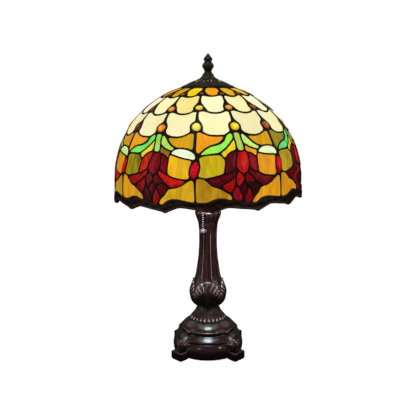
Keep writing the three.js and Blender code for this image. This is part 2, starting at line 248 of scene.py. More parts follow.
# ---------------------------------------------------------------- materials
class Tree:
    def __init__(self, name):
        self.mat = bpy.data.materials.new(name)
        self.mat.use_nodes = True
        self.nt = self.mat.node_tree
        self.nt.nodes.clear()
        self.out = self.node("ShaderNodeOutputMaterial")
        self.bsdf = self.node("ShaderNodeBsdfPrincipled")
        self.link(self.bsdf.outputs[0], self.out.inputs[0])

    def node(self, kind, **props):
        n = self.nt.nodes.new(kind)
        for k, v in props.items():
            setattr(n, k, v)
        return n

    def link(self, a, b):
        self.nt.links.new(a, b)

    def val(self, name, v):
        self.bsdf.inputs[name].default_value = v

    def noise(self, vec, scale, detail=3.0, rough=0.5, distortion=0.0):
        n = self.node("ShaderNodeTexNoise")
        n.inputs["Scale"].default_value = scale
        n.inputs["Detail"].default_value = detail
        n.inputs["Roughness"].default_value = rough
        n.inputs["Distortion"].default_value = distortion
        if vec is not None:
            self.link(vec, n.inputs["Vector"])
        return n.outputs["Fac"]

    def ramp(self, fac, stops):
        n = self.node("ShaderNodeValToRGB")
        e = n.color_ramp.elements
        while len(e) < len(stops):
            e.new(0.5)
        for el, (pos, col) in zip(e, stops):
            el.position = pos
            el.color = (*col, 1.0) if len(col) == 3 else col
        self.link(fac, n.inputs[0])
        return n.outputs[0]

    def map(self, fac, a, b, c, d):
        n = self.node("ShaderNodeMapRange")
        for i, v in enumerate((a, b, c, d)):
            n.inputs[i + 1].default_value = v
        self.link(fac, n.inputs[0])
        return n.outputs[0]

    def math(self, op, a, b=None):
        n = self.node("ShaderNodeMath", operation=op)
        for i, x in enumerate((a, b)):
            if x is None:
                continue
            if isinstance(x, (int, float)):
                n.inputs[i].default_value = x
            else:
                self.link(x, n.inputs[i])
        return n.outputs[0]

    def mix(self, fac, a, b, blend="MIX"):
        n = self.node("ShaderNodeMix", data_type="RGBA", blend_type=blend)
        for sock, x in ((n.inputs[0], fac), (n.inputs[6], a), (n.inputs[7], b)):
            if isinstance(x, (int, float)):
                sock.default_value = x
            elif isinstance(x, tuple):
                sock.default_value = (*x, 1.0) if len(x) == 3 else x
            else:
                self.link(x, sock)
        return n.outputs[2]

    def coords(self, scale=(1, 1, 1)):
        t = self.node("ShaderNodeTexCoord")
        m = self.node("ShaderNodeMapping")
        m.inputs["Scale"].default_value = scale
        self.link(t.outputs["Object"], m.inputs["Vector"])
        return m.outputs[0]

    def attr(self, name):
        return self.node("ShaderNodeAttribute", attribute_name=name)

    def bump(self, height, strength, distance):
        n = self.node("ShaderNodeBump")
        n.inputs["Strength"].default_value = strength
        n.inputs["Distance"].default_value = distance
        self.link(height, n.inputs["Height"])
        self.link(n.outputs[0], self.bsdf.inputs["Normal"])
        return n


def bronze_material(name, dark, wear_and_highlight, painted_highlight, rough, bump=0.03, spec=0.18, coat=0.4):
    """antique dark bronze lacquer: near black in the hollows, reddish brown where it is rubbed,
    and pale on ribs, lips and crests as a painted highlight"""
    t = Tree(name)
    c = t.coords()
    w = t.attr("wear_and_highlight").outputs["Fac"]
    n1 = t.noise(c, 55.0, 3.0, 0.55)
    n2 = t.noise(c, 380.0, 3.0, 0.6)
    n3 = t.noise(c, 1500.0, 2.0, 0.5)
    f = t.math("MULTIPLY", w, t.map(n1, 0.3, 0.7, 0.86, 1.08))
    # the mask runs from bare lacquer through rubbed wear (middle stop) to a painted highlight (last stop)
    col = t.ramp(f, [(0.0, dark), (0.5, wear_and_highlight), (1.0, painted_highlight)])
    col = t.mix(t.map(n1, 0.35, 0.7, 0.0, 0.16), col, tuple(0.6 * x for x in dark))
    t.link(col, t.bsdf.inputs["Base Color"])
    t.link(t.map(n2, 0.3, 0.7, rough - 0.05, rough + 0.07), t.bsdf.inputs["Roughness"])
    t.val("Metallic", 0.0)
    t.val("Specular IOR Level", spec)
    t.val("Coat Weight", coat)
    t.val("Coat Roughness", 0.16)
    t.bump(t.math("ADD", t.math("MULTIPLY", n2, 0.7), t.math("MULTIPLY", n3, 0.35)), bump, 0.0002)
    return t.mat


def metal_material(name, color, rough, scale=300.0, metallic=1.0, stretch=(1, 1, 1), dark=0.6):
    t = Tree(name)
    c = t.coords(stretch)
    n1 = t.noise(c, 45.0, 4.0, 0.6)
    n2 = t.noise(c, scale, 3.0, 0.6)
    col = t.mix(t.map(n1, 0.35, 0.72, 0.0, 0.7), color, tuple(dark * x for x in color))
    t.link(col, t.bsdf.inputs["Base Color"])
    t.link(t.map(n2, 0.3, 0.7, rough - 0.08, rough + 0.12), t.bsdf.inputs["Roughness"])
    t.val("Metallic", metallic)
    t.bump(n2, 0.12, 0.0002)
    return t.mat


def plain_material(name, color, rough, scale=500.0, depth=0.0004, strength=0.3, vary=0.3):
    t = Tree(name)
    c = t.coords()
    n1 = t.noise(c, scale * 0.15, 3.0, 0.55)
    n2 = t.noise(c, scale, 4.0, 0.65)
    col = t.mix(t.map(n1, 0.3, 0.7, 0.0, 1.0), color, tuple((1 - vary) * x for x in color))
    t.link(col, t.bsdf.inputs["Base Color"])
    t.link(t.map(n2, 0.3, 0.7, rough - 0.06, rough + 0.06), t.bsdf.inputs["Roughness"])
    t.bump(n2, strength, depth)
    return t.mat


def glass_material(name, painted_glow, diffuse, rough=0.14, streak=(0.30, 0.045), spec=0.35, vary=0.25,
                   wave=0.25, bubbles=False, contrast=(0.36, 0.64)):
    """opalescent sheet glass whose emission is a painted glow, standing for the bulb's light coming through it. c1 and
    c2 are each piece's two colours, st its own streak coordinates in millimetres"""
    t = Tree(name)
    st = t.attr("st").outputs["Vector"]
    c1 = t.attr("c1").outputs["Color"]
    c2 = t.attr("c2").outputs["Color"]
    m = t.node("ShaderNodeMapping")
    m.inputs["Scale"].default_value = (streak[0], streak[1], 1.0)
    t.link(st, m.inputs["Vector"])
    s1 = t.noise(m.outputs[0], 1.0, 3.0, 0.55, 0.6)
    m2 = t.node("ShaderNodeMapping")
    m2.inputs["Scale"].default_value = (streak[0] * 3.1, streak[1] * 2.2, 1.0)
    m2.inputs["Location"].default_value = (17.3, 5.1, 0.0)
    t.link(st, m2.inputs["Vector"])
    s2 = t.noise(m2.outputs[0], 1.0, 3.0, 0.6, 0.4)
    base = t.mix(t.map(s1, contrast[0], contrast[1], 0.0, 1.0), c1, c2)
    dark = t.mix(1.0, base, (1 - vary, 1 - vary * 1.1, 1 - vary * 1.2), "MULTIPLY")
    base = t.mix(t.map(s2, 0.42, 0.66, 0.0, 1.0), base, dark)
    low = t.mix(1.0, base, (diffuse, diffuse, diffuse), "MULTIPLY")
    t.link(low, t.bsdf.inputs["Base Color"])
    t.link(base, t.bsdf.inputs["Emission Color"])
    # emission strength: the painted glow of the glass lit from within
    t.val("Emission Strength", painted_glow)
    t.val("Specular IOR Level", spec)
    t.val("Roughness", rough)
    m3 = t.node("ShaderNodeMapping")
    m3.inputs["Scale"].default_value = (0.22, 0.16, 0.2)
    t.link(st, m3.inputs["Vector"])
    w = t.noise(m3.outputs[0], 1.0, 3.0, 0.5, 0.3)
    t.bump(w, wave, 0.0012)
    return t.mat


# the last colour given to each bronze is a painted highlight, near white on the base and the cap
M_BRONZE = bronze_material("bronze", lin((21, 13, 14)), lin((84, 47, 46)), lin((232, 216, 214)), 0.3, coat=0.8)
M_RIM = bronze_material("rim_bronze", lin((22, 13, 9)), lin((66, 39, 24)), lin((112, 76, 50)), 0.5, 0.3, 0.25, 0.0)
M_CAP = bronze_material("cap_bronze", lin((20, 13, 9)), lin((80, 68, 44)), lin((255, 252, 244)), 0.4, 0.1, 0.3, 0.1)
M_LEAD = bronze_material("lead", lin((13, 7, 5)), lin((26, 15, 10)), lin((44, 28, 20)), 0.5, 0.3, 0.2, 0.0)
M_BRASS = metal_material("brass", lin((172, 134, 74)), 0.3)
M_OLDBRASS = metal_material("chain_brass", lin((120, 100, 82)), 0.28)
M_STEEL = metal_material("zinc_steel", lin((150, 150, 152)), 0.38, 500.0)
M_ALU = metal_material("lamp_cap_metal", lin((190, 188, 184)), 0.3, 200.0)
M_IRON = plain_material("cast_iron", lin((62, 60, 58)), 0.75, 260.0, 0.0009, 0.6)
M_FELT = plain_material("felt", lin((38, 52, 42)), 0.95, 900.0, 0.0008, 0.8)
M_PLASTIC = plain_material("phenolic", lin((26, 24, 23)), 0.42, 700.0, 0.0002, 0.15)
M_FIBRE = plain_material("fibre", lin((150, 116, 78)), 0.85, 600.0, 0.0004, 0.4)
M_GLASS = glass_material("art_glass", 1.02, 0.10, rough=0.34, spec=0.12, streak=(0.13, 0.028), vary=0.16, wave=0.05)
M_CREAM = glass_material("cream_glass", 1.01, 0.10, rough=0.38, streak=(0.035, 0.02), spec=0.1, vary=0.035, wave=0.05,
                         contrast=(0.3, 0.7))
M_RED = glass_material("red_glass", 0.95, 0.05, rough=0.25, streak=(0.16, 0.05), vary=0.45, spec=0.08, wave=0.04,
                       contrast=(0.34, 0.6))
M_JEWEL = glass_material("jewel_glass", 1.02, 0.05, rough=0.12, streak=(0.16, 0.16), vary=0.2,
                         spec=0.25, wave=0.02)


def bulb_material():
    t = Tree("frosted_bulb")
    c = t.coords()
    n = t.noise(c, 900.0, 2.0, 0.5)
    col = t.mix(t.map(n, 0.3, 0.7, 0.0, 1.0), (0.95, 0.93, 0.88), (0.88, 0.86, 0.82))
    t.link(col, t.bsdf.inputs["Base Color"])
    t.link(t.mix(t.map(n, 0.3, 0.7, 0.0, 1.0), (1.0, 0.9, 0.72), (1.0, 0.86, 0.66)),
           t.bsdf.inputs["Emission Color"])
    t.val("Emission Strength", 1.1)
    t.val("Roughness", 0.45)
    t.bump(n, 0.05, 0.0001)
    return t.mat


M_BULB = bulb_material()

# ------------------------------------------------------------ shade surface
SHADE = np.array([[431, 41], [427.5, 52], [424, 63.2], [418, 74.5], [412, 83.5], [406, 92],
    [400, 100], [394, 106.3], [388, 112], [382, 117.3], [376, 121.8], [370, 125.3],
    [364, 128.5], [358, 131.2], [352, 133.8], [346, 136.3], [340, 138.4], [334, 140.4],
    [328, 142.1], [322, 143.7], [316, 145], [310, 145.8], [304, 146.4], [298, 146.8],
    [292, 147.1], [286, 147.3], [280, 147.5], [274, 147.6], [268, 147.6], [262, 147.5],
    [256, 147.3], [250, 147], [240, 146.4], [225, 145.4]], float)
_arc = np.r_[0, np.cumsum(np.hypot(*np.diff(SHADE, axis=0).T))]
_f = np.arange(0, _arc[-1], 0.5)
_r, _z = np.interp(_f, _arc, SHADE[:, 1]), np.interp(_f, _arc, SHADE[:, 0])
SLIM = np.array([[240, 0], [336, 0], [346, -0.5], [352, -1.0], [358, -1.6], [364, -2.1], [370, -2.3], [376, -2.5],
                 [382, -2.9], [388, -3.4], [394, -3.9], [400, -3.8], [406, -3.6], [412, -3.4], [418, -3.9], [423, -4.0],
                 [427.5, -2.6], [431, -0.6]], float)
_r = _r + np.interp(_z, SLIM[:, 0], SLIM[:, 1])
_k = np.hanning(23)[1:-1]
_k /= _k.sum()
for _ in range(2):
    for _a in (_r, _z):
        slope0, slope1 = _a[1] - _a[0], _a[-1] - _a[-2]
        pad = np.r_[_a[0] + slope0 * np.arange(-10, 0), _a, _a[-1] + slope1 * np.arange(1, 11)]
        _a[:] = np.convolve(pad, _k, "valid")
_dr, _dz = np.gradient(_r), np.gradient(_z)
_l = np.hypot(_dr, _dz)
_nr, _nz = -_dz / _l, _dr / _l


def shade_r(s):
    return np.interp(s, _f, _r)


def on_shade(theta, s, d):
    """position at angle theta (degrees), distance s from the cap, moved out by d"""
    theta, s, d = np.broadcast_arrays(np.asarray(theta, float), s, d)
    r = np.interp(s, _f, _r) + d * np.interp(s, _f, _nr)
    z = np.interp(s, _f, _z) + d * np.interp(s, _f, _nz)
    a = np.radians(theta)
    return np.stack([r * np.sin(a), -r * np.cos(a), z], -1)


STEP = 360.0 / 7
CENTRE = 18.7
# each panel was laid up by hand, so its lower part sits a little high or low
LIFT = np.array([0.0, -0.8, 1.4, -0.6, 1.0, 0.2, 0.8])
SKEW = 0.024


# how far the leading on the side seen stands from the regular pattern, in degrees and in mm, every
# 12 degrees and 18 mm: measured by laying a render of the regular pattern beside the photograph
OFF_T = np.array([
    [0.3, 4.5, 5.0, 3.7, 1.8, 0.6, -0.0, -0.4, -0.9, -1.8, -3.2, -5.0, -3.0, -0.2],
    [0.2, 4.3, 4.1, 2.0, 0.6, -0.2, -0.3, -0.1, 0.0, -0.3, -0.8, -1.3, -0.6, -0.0],
    [0.3, 4.0, 2.5, 1.3, 0.3, -0.3, -0.4, -0.1, 0.2, 0.2, 0.2, 0.5, 0.9, 0.1],
    [0.4, 3.5, 2.2, 1.3, 0.4, -0.3, -0.3, -0.1, 0.0, -0.1, -0.2, -0.1, -0.0, 0.0],
    [0.3, 1.7, 1.1, 0.7, 0.2, -0.4, -0.3, -0.1, 0.0, -0.0, 0.1, 0.3, 0.6, 0.1],
    [0.5, 2.2, 1.3, 0.8, 0.5, -0.1, -0.2, -0.1, -0.2, -0.1, 0.0, 0.2, 0.7, 0.1],
    [0.3, 1.1, 0.8, 0.6, 0.4, 0.1, -0.1, -0.2, -0.2, 0.0, 0.3, 0.5, 1.0, 0.2],
    [0.4, 1.2, 0.9, 0.7, 0.4, 0.1, -0.3, -0.2, -0.1, 0.2, 0.5, 0.5, 0.7, 0.2],
    [0.5, 1.5, 0.9, 0.6, 0.2, -0.3, -0.4, -0.2, -0.1, 0.1, 0.3, 0.0, -0.4, -0.1],
    [0.3, 1.0, 0.4, 0.1, -0.7, -0.8, -0.4, -0.3, -0.0, 0.2, 0.3, -0.1, -0.7, -0.2],
    [0.0, -0.0, -0.2, -0.5, -0.9, -0.9, -0.4, -0.2, 0.0, 0.3, 0.4, -0.2, -0.9, -0.3],
    [-0.1, -0.1, -0.2, -0.6, -0.8, -0.6, -0.4, -0.2, -0.0, 0.3, 0.5, -0.2, -1.1, -0.3],
    [0.0, 0.5, 0.1, -0.5, -0.7, -0.5, -0.4, -0.1, -0.0, 0.3, 0.6, -0.2, -1.3, -0.3]])
OFF_S = np.array([
    [-0.1, 1.2, 3.6, 2.9, 2.2, 1.4, 0.8, 0.6, 1.0, 1.7, 2.3, 2.6, 0.6, -0.1],
    [0.3, 3.6, 4.0, 4.0, 2.8, 1.7, 0.7, 0.5, 1.2, 2.2, 2.6, 2.5, 1.7, 0.2],
    [0.2, 2.9, 3.3, 3.3, 2.5, 1.2, 0.3, 0.2, 1.0, 1.6, 1.5, 1.2, 1.1, 0.2],
    [0.3, 2.8, 2.9, 3.2, 3.0, 1.4, 0.1, 0.1, 1.1, 1.4, 1.1, 0.9, 0.9, 0.1],
    [0.3, 2.3, 2.4, 2.6, 2.9, 1.7, 0.1, 0.1, 1.1, 1.2, 0.9, 0.9, 0.9, 0.1],
    [0.2, 1.8, 1.8, 1.9, 2.1, 1.8, 0.4, 0.0, 1.0, 1.0, 0.8, 0.7, 0.6, 0.1],
    [0.1, 1.1, 1.4, 1.4, 1.2, 1.3, 0.7, 0.0, 0.5, 0.5, 0.4, 0.1, 0.1, 0.1],
    [-0.1, -0.3, 0.3, 1.1, 0.6, 0.6, 0.7, 0.1, -0.0, -0.1, -0.2, -0.6, -0.6, -0.0],
    [-0.3, -1.3, -0.8, 0.3, 0.1, -0.3, 0.3, -0.1, -0.4, -0.7, -0.8, -0.9, -1.0, -0.2],
    [-0.3, -1.3, -1.0, -0.6, -0.6, -0.4, -0.3, -0.4, -0.6, -0.6, -0.5, -0.3, -0.5, -0.1],
    [-0.2, -1.3, -1.2, -0.9, -1.3, -1.1, -1.1, -0.6, -0.3, -0.1, -0.1, 0.1, 0.1, -0.0],
    [-0.2, -1.6, -1.3, -0.8, -1.7, -2.2, -1.7, -0.9, -0.2, 0.2, -0.0, -0.4, -0.5, -0.1],
    [-0.2, -1.2, -0.9, -0.4, -1.2, -1.7, -1.3, -0.7, -0.2, 0.2, 0.1, -0.5, -0.9, -0.1]])


def spot(grid, theta, s):
    x = np.clip((theta + 78.0) / 12.0, 0, 12.999)
    y = np.clip(s / 18.0, 0, 11.999)
    i, j = np.floor(x).astype(int), np.floor(y).astype(int)
    u, v = x - i, y - j
    u, v = u * u * (3 - 2 * u), v * v * (3 - 2 * v)
    a = grid[j, i] * (1 - u) + grid[j, i + 1] * u
    b = grid[j + 1, i] * (1 - u) + grid[j + 1, i + 1] * u
    return a * (1 - v) + b * v


def lift(theta, s):
    x = (np.asarray(theta, float) - CENTRE) / STEP
    i = np.floor(x).astype(int)
    t = smooth01(x - i)
    a = LIFT[i % 7] * (1 - t) + LIFT[(i + 1) % 7] * t
    return a * smooth01((s - 112) / 45.0) * (1 - 0.85 * smooth01((s - 205) / 12.0))


def warp(theta, s):
    """the small unevenness of hand work all round, the shade's tilt, and the offsets of the side seen"""
    theta, s = np.broadcast_arrays(np.asarray(theta, float), np.asarray(s, float))
    a = np.radians(theta)
    ds = 0.35 * np.sin(3 * a + s / 23.0) + 0.3 * np.sin(8 * a - s / 17.0)
    dt = 0.15 * np.sin(5 * a + s / 19.0) + 0.12 * np.sin(11 * a - s / 13.0)
    w = smooth01(s / 12.0)
    r, z = np.interp(s, _f, _r), np.interp(s, _f, _z)
    tr, tz = np.interp(s, _f, _dr / _l), np.interp(s, _f, _dz / _l)
    lean = smooth01((s - 3.0) / 30.0)
    ts = SKEW * np.sin(a) * (r * tz - (z - 345.0) * tr) * lean
    tt = np.degrees(-SKEW * (z - 345.0) * np.cos(a) / r) * lean
    front = (theta + 180.0) % 360.0 - 180.0
    fade = smooth01((80.0 - np.abs(front)) / 6.0) * smooth01(s / 8.0)
    tt = tt + spot(OFF_T, front, s) * fade
    ts = ts + spot(OFF_S, front, s) * fade
    near = np.exp(-((front + 13.5) / 8.5) ** 2 - ((s - 139.0) / 11.0) ** 2)
    ts = ts + (0.34 * (front + 13.5) + 0.4) * near
    tt = tt - 0.9 * near
    return theta + dt * w + tt, s + ds * w + ts + lift(theta, s)


# --------------------------------------------------- the pattern of one panel
# outlines of the visible glass: (theta, s), theta in degrees, s in millimetres
P14 = {
    "crown": "-2.4,5.9 1.2,5.1 7.1,5.1 12.9,5.5 15.9,7.2 16.5,11.3 16.8,16.3 15.9,21.3 13.8,25.5 12.9,30.5 11.8,33.4 8.8,34.7 5.9,35.1 2.9,33.8 1.2,31.3 0,26.3 -2.4,21.3 -2.9,14.7 -2.9,8.8",
    "upper": "-4.7,35.1 -1.2,37.2 2.4,38.8 6.5,39.4 10.6,38 12.9,35.9 16.5,35.1 17.4,38 17.1,44.7 16.8,51.3 15.6,55.5 14.4,60.5 14,67.2 13.8,71.3 11.2,73.4 7.1,74.3 3.5,73.4 1.2,71.8 0,68 -1.8,62.2 -4.1,55.5 -5.3,51.3 -5.6,44.7 -5.6,38.8",
    "lower": "-5.9,72.2 -2.9,71.8 0,74.3 3.5,77.2 7.1,78 10.6,76.8 14.1,73.4 17.6,73 17.4,77.2 17.4,85.5 17.1,90.5 15.3,93.8 14.1,98 14,103 14.4,106.3 12.9,109.7 10,112.6 6.5,113.4 2.4,112.2 -0.6,110.1 -2.4,107.2 -2.9,103 -2.6,98 -3.5,93 -5.3,88 -5.9,83 -6,77.2",
}
P7 = {
    "A": "-6.4,108.2 -4.8,108.3 -3,110.8 -0.9,112.8 0.9,114.8 3.4,115.5 7,115.3 10,115.1 8.8,118.5 7.7,121.3 6.3,124 4.1,125.3 2,126.5 -0.1,129 -2.1,131.8 -4.1,136 -5.1,137.2 -5.9,135 -6.2,132",
    "B": "14.5,110 15.4,113 15.4,115.5 14.9,119 13.4,123 11.6,127.5 9.9,131.5 7.7,135.5 5.9,137.8 3.8,138.5 0.6,138.8 -3.7,139.5 -3.9,138.8 -2.6,136 -1.2,133.3 0.6,131 2.7,129.8 5.2,129 7.7,127 9.5,124.5 10.9,121 11.6,117 12.4,113.5 13.4,111",
    "C": "17,110 17,112 17.2,120 17.5,127 17.9,132 18.4,135.3 19.7,136 20.9,135.5 21.3,134 20.8,127 20.6,120 20.2,114 20,110",
    "D": "21.8,112 21.5,114 21.3,119 21.8,122.5 23.1,126.5 24.9,130 27,132.5 29.1,134 30.9,134 31.6,132.5 30.9,130.8 29.5,129.3 28.1,127 26.6,123.5 25.2,119.5 23.8,115.5 22.7,113",
    "E": "16.1,120.3 16.3,124 16.3,130 15.8,134.5 13.8,136.5 12,139.3 10.6,143 9.7,145.5 8.8,143.5 7.9,140.5 7.7,139.3 9.1,137.3 10.9,134 12.7,130 14.1,126 15.2,122.5",
    "F": "22.7,128.5 23.1,129 24.1,130.8 25.9,133 27.7,135 29.3,136.3 29.1,139 28.8,142 28.3,144.8 27.4,142 25.9,139.8 24.1,137.8 22.9,136.8 22.5,134 22.4,131",
    "G": "42.5,110.3 40.2,110.3 38.4,112 36.3,114 34.1,115.8 31.6,117 29.5,116.5 26.3,115.5 27.2,118.5 28.4,122 29.9,125 31.6,127.5 33.4,129.3 36.6,129.5 39.9,129.8 42,131 42.9,132.3 42.7,122 42.6,112",
    "H": "30.8,139 31.3,137.3 33.1,134.5 35.2,132.8 37.4,132.3 39.9,133 42,134.8 43.8,137.5 44.5,140.5 44.6,144 44.4,145.3 42,144.5 38.4,143.8 34.9,142.3 32.4,140.5",
    "I": "-4.4,144.5 -2.3,142.5 0.9,142.5 6.3,142.3 7.4,144 8.4,147.5 9.3,150 9.1,153 9,157 8.6,162 8.4,167 6.3,168.8 2.7,170.8 -1.6,172 -4.1,171 -5,169.5 -4.6,165 -4.1,159.5 -3.9,154.5 -4.1,149.5",
    "K": "30,142 32.4,143.5 35.6,145 39.1,146.3 42,147 42.5,148 42,151 41.5,156 41.3,161 41.2,166 41.3,169.5 41.0,172 39.5,173.8 37,174 34.1,172.8 31.6,171 29.9,168 29.3,165 29.3,154.5 29.5,149.5 29.7,145.5",
    "L": "17,138.5 14.9,137.5 13.1,139 11.6,142 10.6,145.5 10.2,149.5 10.2,154.5 9.9,159.5 9.5,164.5 9.1,168.5 9.9,167.5 11.3,165 13.4,162.5 15.2,159.5 15.2,156 15.4,152 15.9,147 16.6,142",
    "M": "18.8,138 21.6,137.8 22.4,140 23.1,144.5 23.4,149.5 23.1,154.5 22.4,159.5 21.5,165 20.9,166.8 19,166.8 17.7,164 16.6,159.5 15.8,155 16.3,150 17,145 17.5,141",
    "N": "24.3,140 25.6,142 27,145 28.1,148.5 28.1,154.5 28.3,159.5 27.9,165.5 27.4,165.5 25.9,162.5 24.9,159.5 24.5,154.5 24.5,149.5 24,144.5 23.8,141.5",
    "O": "15.4,163 14.9,165 12,167.5 9.1,169.5 6.3,171.5 2.7,173.5 0.6,174.5 0.8,177 2,179.5 3.8,182 5.6,183 7.7,181 10.2,178.5 12,176 13.4,172.5 14.9,169",
    "P": "14.3,172.5 12.4,177.5 10.2,180.5 8.1,184 8.1,185.5 9.5,188.5 11.3,191.5 12.4,193 13.1,189 13.6,185 14.1,180 14.5,176",
    "Q": "16.8,167.3 18.4,170.5 19.7,173.5 19.1,176.5 18.3,180 17.2,184 16.6,185.8 16.3,182 15.8,178 15.8,174 16.3,170",
    "R": "21.8,169 23.1,171.5 24.5,174.5 25.9,178.5 25.6,179.5 22.4,180.3 21.3,178.5 20.9,174.5 21.3,171",
    "S": "23.8,164.5 25.2,166.5 27.4,169.5 29.9,171.5 33.1,174 36.6,175.5 38.8,176.5 38.1,179.5 35.9,182.5 33.8,184.8 32,185 29.9,182 28.1,178.5 26.3,175 24.9,171 23.8,167.5",
    "T": "14.9,186.5 16.3,190 17.4,195 17.9,200 17.7,204 16.6,205 14.9,203 13.8,199 13.6,195 14,191",
    "U": "20,180.5 20.6,184 20.6,189 20.2,194 19.1,198 18.3,194 17.5,189 18.4,185",
    "V": "22.2,189 23.4,192.5 24,197.5 23.8,202.5 22.7,207.5 21.6,209.5 20.2,208.5 20.2,204 20.6,199 21.1,194",
    "W": "23.8,183.5 26.3,183 28.1,185 28.4,187 27.7,191.5 25.9,196 25,198 24.1,194 23.6,189",
    "X": "-5.7,174 -3.4,174 -1.9,176 -0.1,180 1.6,184.5 3.8,187 6.3,189 8.4,192.5 10.6,196 12,198.5 12.5,202.5 12.4,204.3 10.6,202.5 7.7,200.5 5.2,200.5 3.1,202 0.9,204.5 -0.9,206.5 -4.1,207 -6.4,206.5 -6.4,200 -6.4,190 -6.2,180 -6,175.5",
    "Y": "42.7,176 41.3,177.5 39.5,180.5 37.4,184 35.2,187 33.1,188.8 29.9,189.8 29.3,192.5 28.4,196 27,200 25.2,204 24.1,208.5 24.5,209.8 26.3,209.5 27.7,206 29.5,203.5 32,202.3 34.9,202.5 38.1,204 41.3,205.5 43.6,206.5 43.6,200 43.5,190 43.4,180 43.2,177.3",
}
# round jewels of one scallop: theta, s, radius in mm
ROUND = {"crown_jewel": (-6.4, 28.6, 3.4), "upper_jewel": (-6.5, 64.5, 5.3),
         "lower_jewel": (-7.15, 99.8, 6.6)}
# a line that stays in the lead from top to bottom, where one panel meets the next
CUT = [(-5.9, 0.8), (-5.9, 21.5), (-8.6, 23.6), (-10.9, 26), (-10.9, 31), (-8.4, 33.6), (-6.6, 36),
       (-6.9, 40), (-6.9, 52), (-8.2, 56.6), (-10.5, 60.4), (-10.6, 68.4), (-8.4, 71.2), (-7.0, 72.6),
       (-7.05, 88), (-8.8, 91.8), (-10.95, 95.8), (-10.95, 104), (-9.2, 107.6), (-7.65, 109.6), (-7.5, 130),
       (-7.1, 135.2), (-6.05, 138.4), (-5.5, 141), (-5.5, 144.2), (-5.2, 147.4), (-4.6, 151.5),
       (-4.5, 158), (-4.75, 163.2), (-5.35, 168), (-6.2, 172), (-7.0, 175.2), (-7.2, 180), (-7.2, 213)]


def parse(text):
    return np.array([[float(x) for x in p.split(",")] for p in text.split()])


def to_mm(p):
    p = np.asarray(p, float)
    return np.stack([np.radians(p[:, 0] - CENTRE) * shade_r(p[:, 1]), p[:, 1]], 1)


def to_polar(q):
    q = np.asarray(q, float)
    return np.stack([np.degrees(q[:, 0] / shade_r(q[:, 1])) + CENTRE, q[:, 1]], 1)


def even_loop(q, step, passes=2):
    """a closed loop in mm, evenly spaced and with its corners eased"""
    p = np.vstack([q, q[:1]])
    t = np.r_[0, np.cumsum(np.hypot(*np.diff(p, axis=0).T))]
    n = max(10, int(round(t[-1] / step)))
    f = np.linspace(0, t[-1], n, endpoint=False)
    o = np.stack([np.interp(f, t, p[:, 0]), np.interp(f, t, p[:, 1])], 1)
    for _ in range(passes):
        o = 0.25 * np.roll(o, 1, 0) + 0.5 * o + 0.25 * np.roll(o, -1, 0)
    return o


def even_line(q, step):
    t = np.r_[0, np.cumsum(np.hypot(*np.diff(q, axis=0).T))]
    n = max(2, int(round(t[-1] / step)) + 1)
    f = np.linspace(0, t[-1], n)
    return np.stack([np.interp(f, t, q[:, 0]), np.interp(f, t, q[:, 1])], 1)


def inside(pts, loop):
    x, y = pts[:, 0][:, None], pts[:, 1][:, None]
    x0, y0 = loop[:, 0][None], loop[:, 1][None]
    x1, y1 = np.roll(loop[:, 0], -1)[None], np.roll(loop[:, 1], -1)[None]
    with np.errstate(divide="ignore", invalid="ignore"):
        hit = ((y0 > y) != (y1 > y)) & (x < (x1 - x0) * (y - y0) / (y1 - y0) + x0)
    return hit.sum(1) % 2 == 1


def area(q):
    return 0.5 * np.sum(q[:, 0] * np.roll(q[:, 1], -1) - np.roll(q[:, 0], -1) * q[:, 1])


def offset_loop(q, d):
    """moves a closed loop outwards by d"""
    t = np.roll(q, -1, 0) - np.roll(q, 1, 0)
    t /= np.maximum(np.hypot(t[:, 0], t[:, 1]), 1e-9)[:, None]
    n = np.stack([t[:, 1], -t[:, 0]], 1)
    if area(q) < 0:
        n = -n
    return q + n * d


LEAD_STEP = 1.25
LEAD_W = 2.6                                 # the lead between two neighbouring pieces
loops = {}                                   # name: loop in mm, one panel
for name, text in P7.items():
    loops[name] = even_loop(to_mm(parse(text)), LEAD_STEP)
for name, text in P14.items():
    for j in (0, 1):
        p = parse(text)
        p[:, 0] += j * STEP / 2
        loops[f"{name}{j}"] = even_loop(to_mm(p), LEAD_STEP)
for name, (t0, s0, r0) in ROUND.items():
    for j in (0, 1):
        c = to_mm([[t0 + j * STEP / 2, s0]])[0]
        a = np.linspace(0, 2 * PI, max(14, int(2 * PI * r0 / LEAD_STEP)), endpoint=False)
        loops[f"{name}{j}"] = c + r0 * np.stack([np.cos(a), np.sin(a)], 1)
_a = np.linspace(0, 2 * PI, 48, endpoint=False)
loops["J"] = to_mm(np.stack([-7.25 + 2.1 * np.cos(_a) - 0.85 * np.sin(_a), 161 + 11.8 * np.sin(_a)], 1))


def shifted(q, k):
    p = to_polar(q)
    p[:, 0] += k * STEP
    return to_mm(p)


def dist_to(pts, targets, chunk=4000):
    out = np.full(len(pts), 1e9)
    for i in range(0, len(pts), chunk):
        d = pts[i:i + chunk, None, :] - targets[None]
        out[i:i + chunk] = np.sqrt((d * d).sum(-1).min(1))
    return out


def dense(q, step=0.4):
    p = np.vstack([q, q[:1]])
    t = np.r_[0, np.cumsum(np.hypot(*np.diff(p, axis=0).T))]
    f = np.arange(0, t[-1], step)
    return np.stack([np.interp(f, t, p[:, 0]), np.interp(f, t, p[:, 1])], 1)


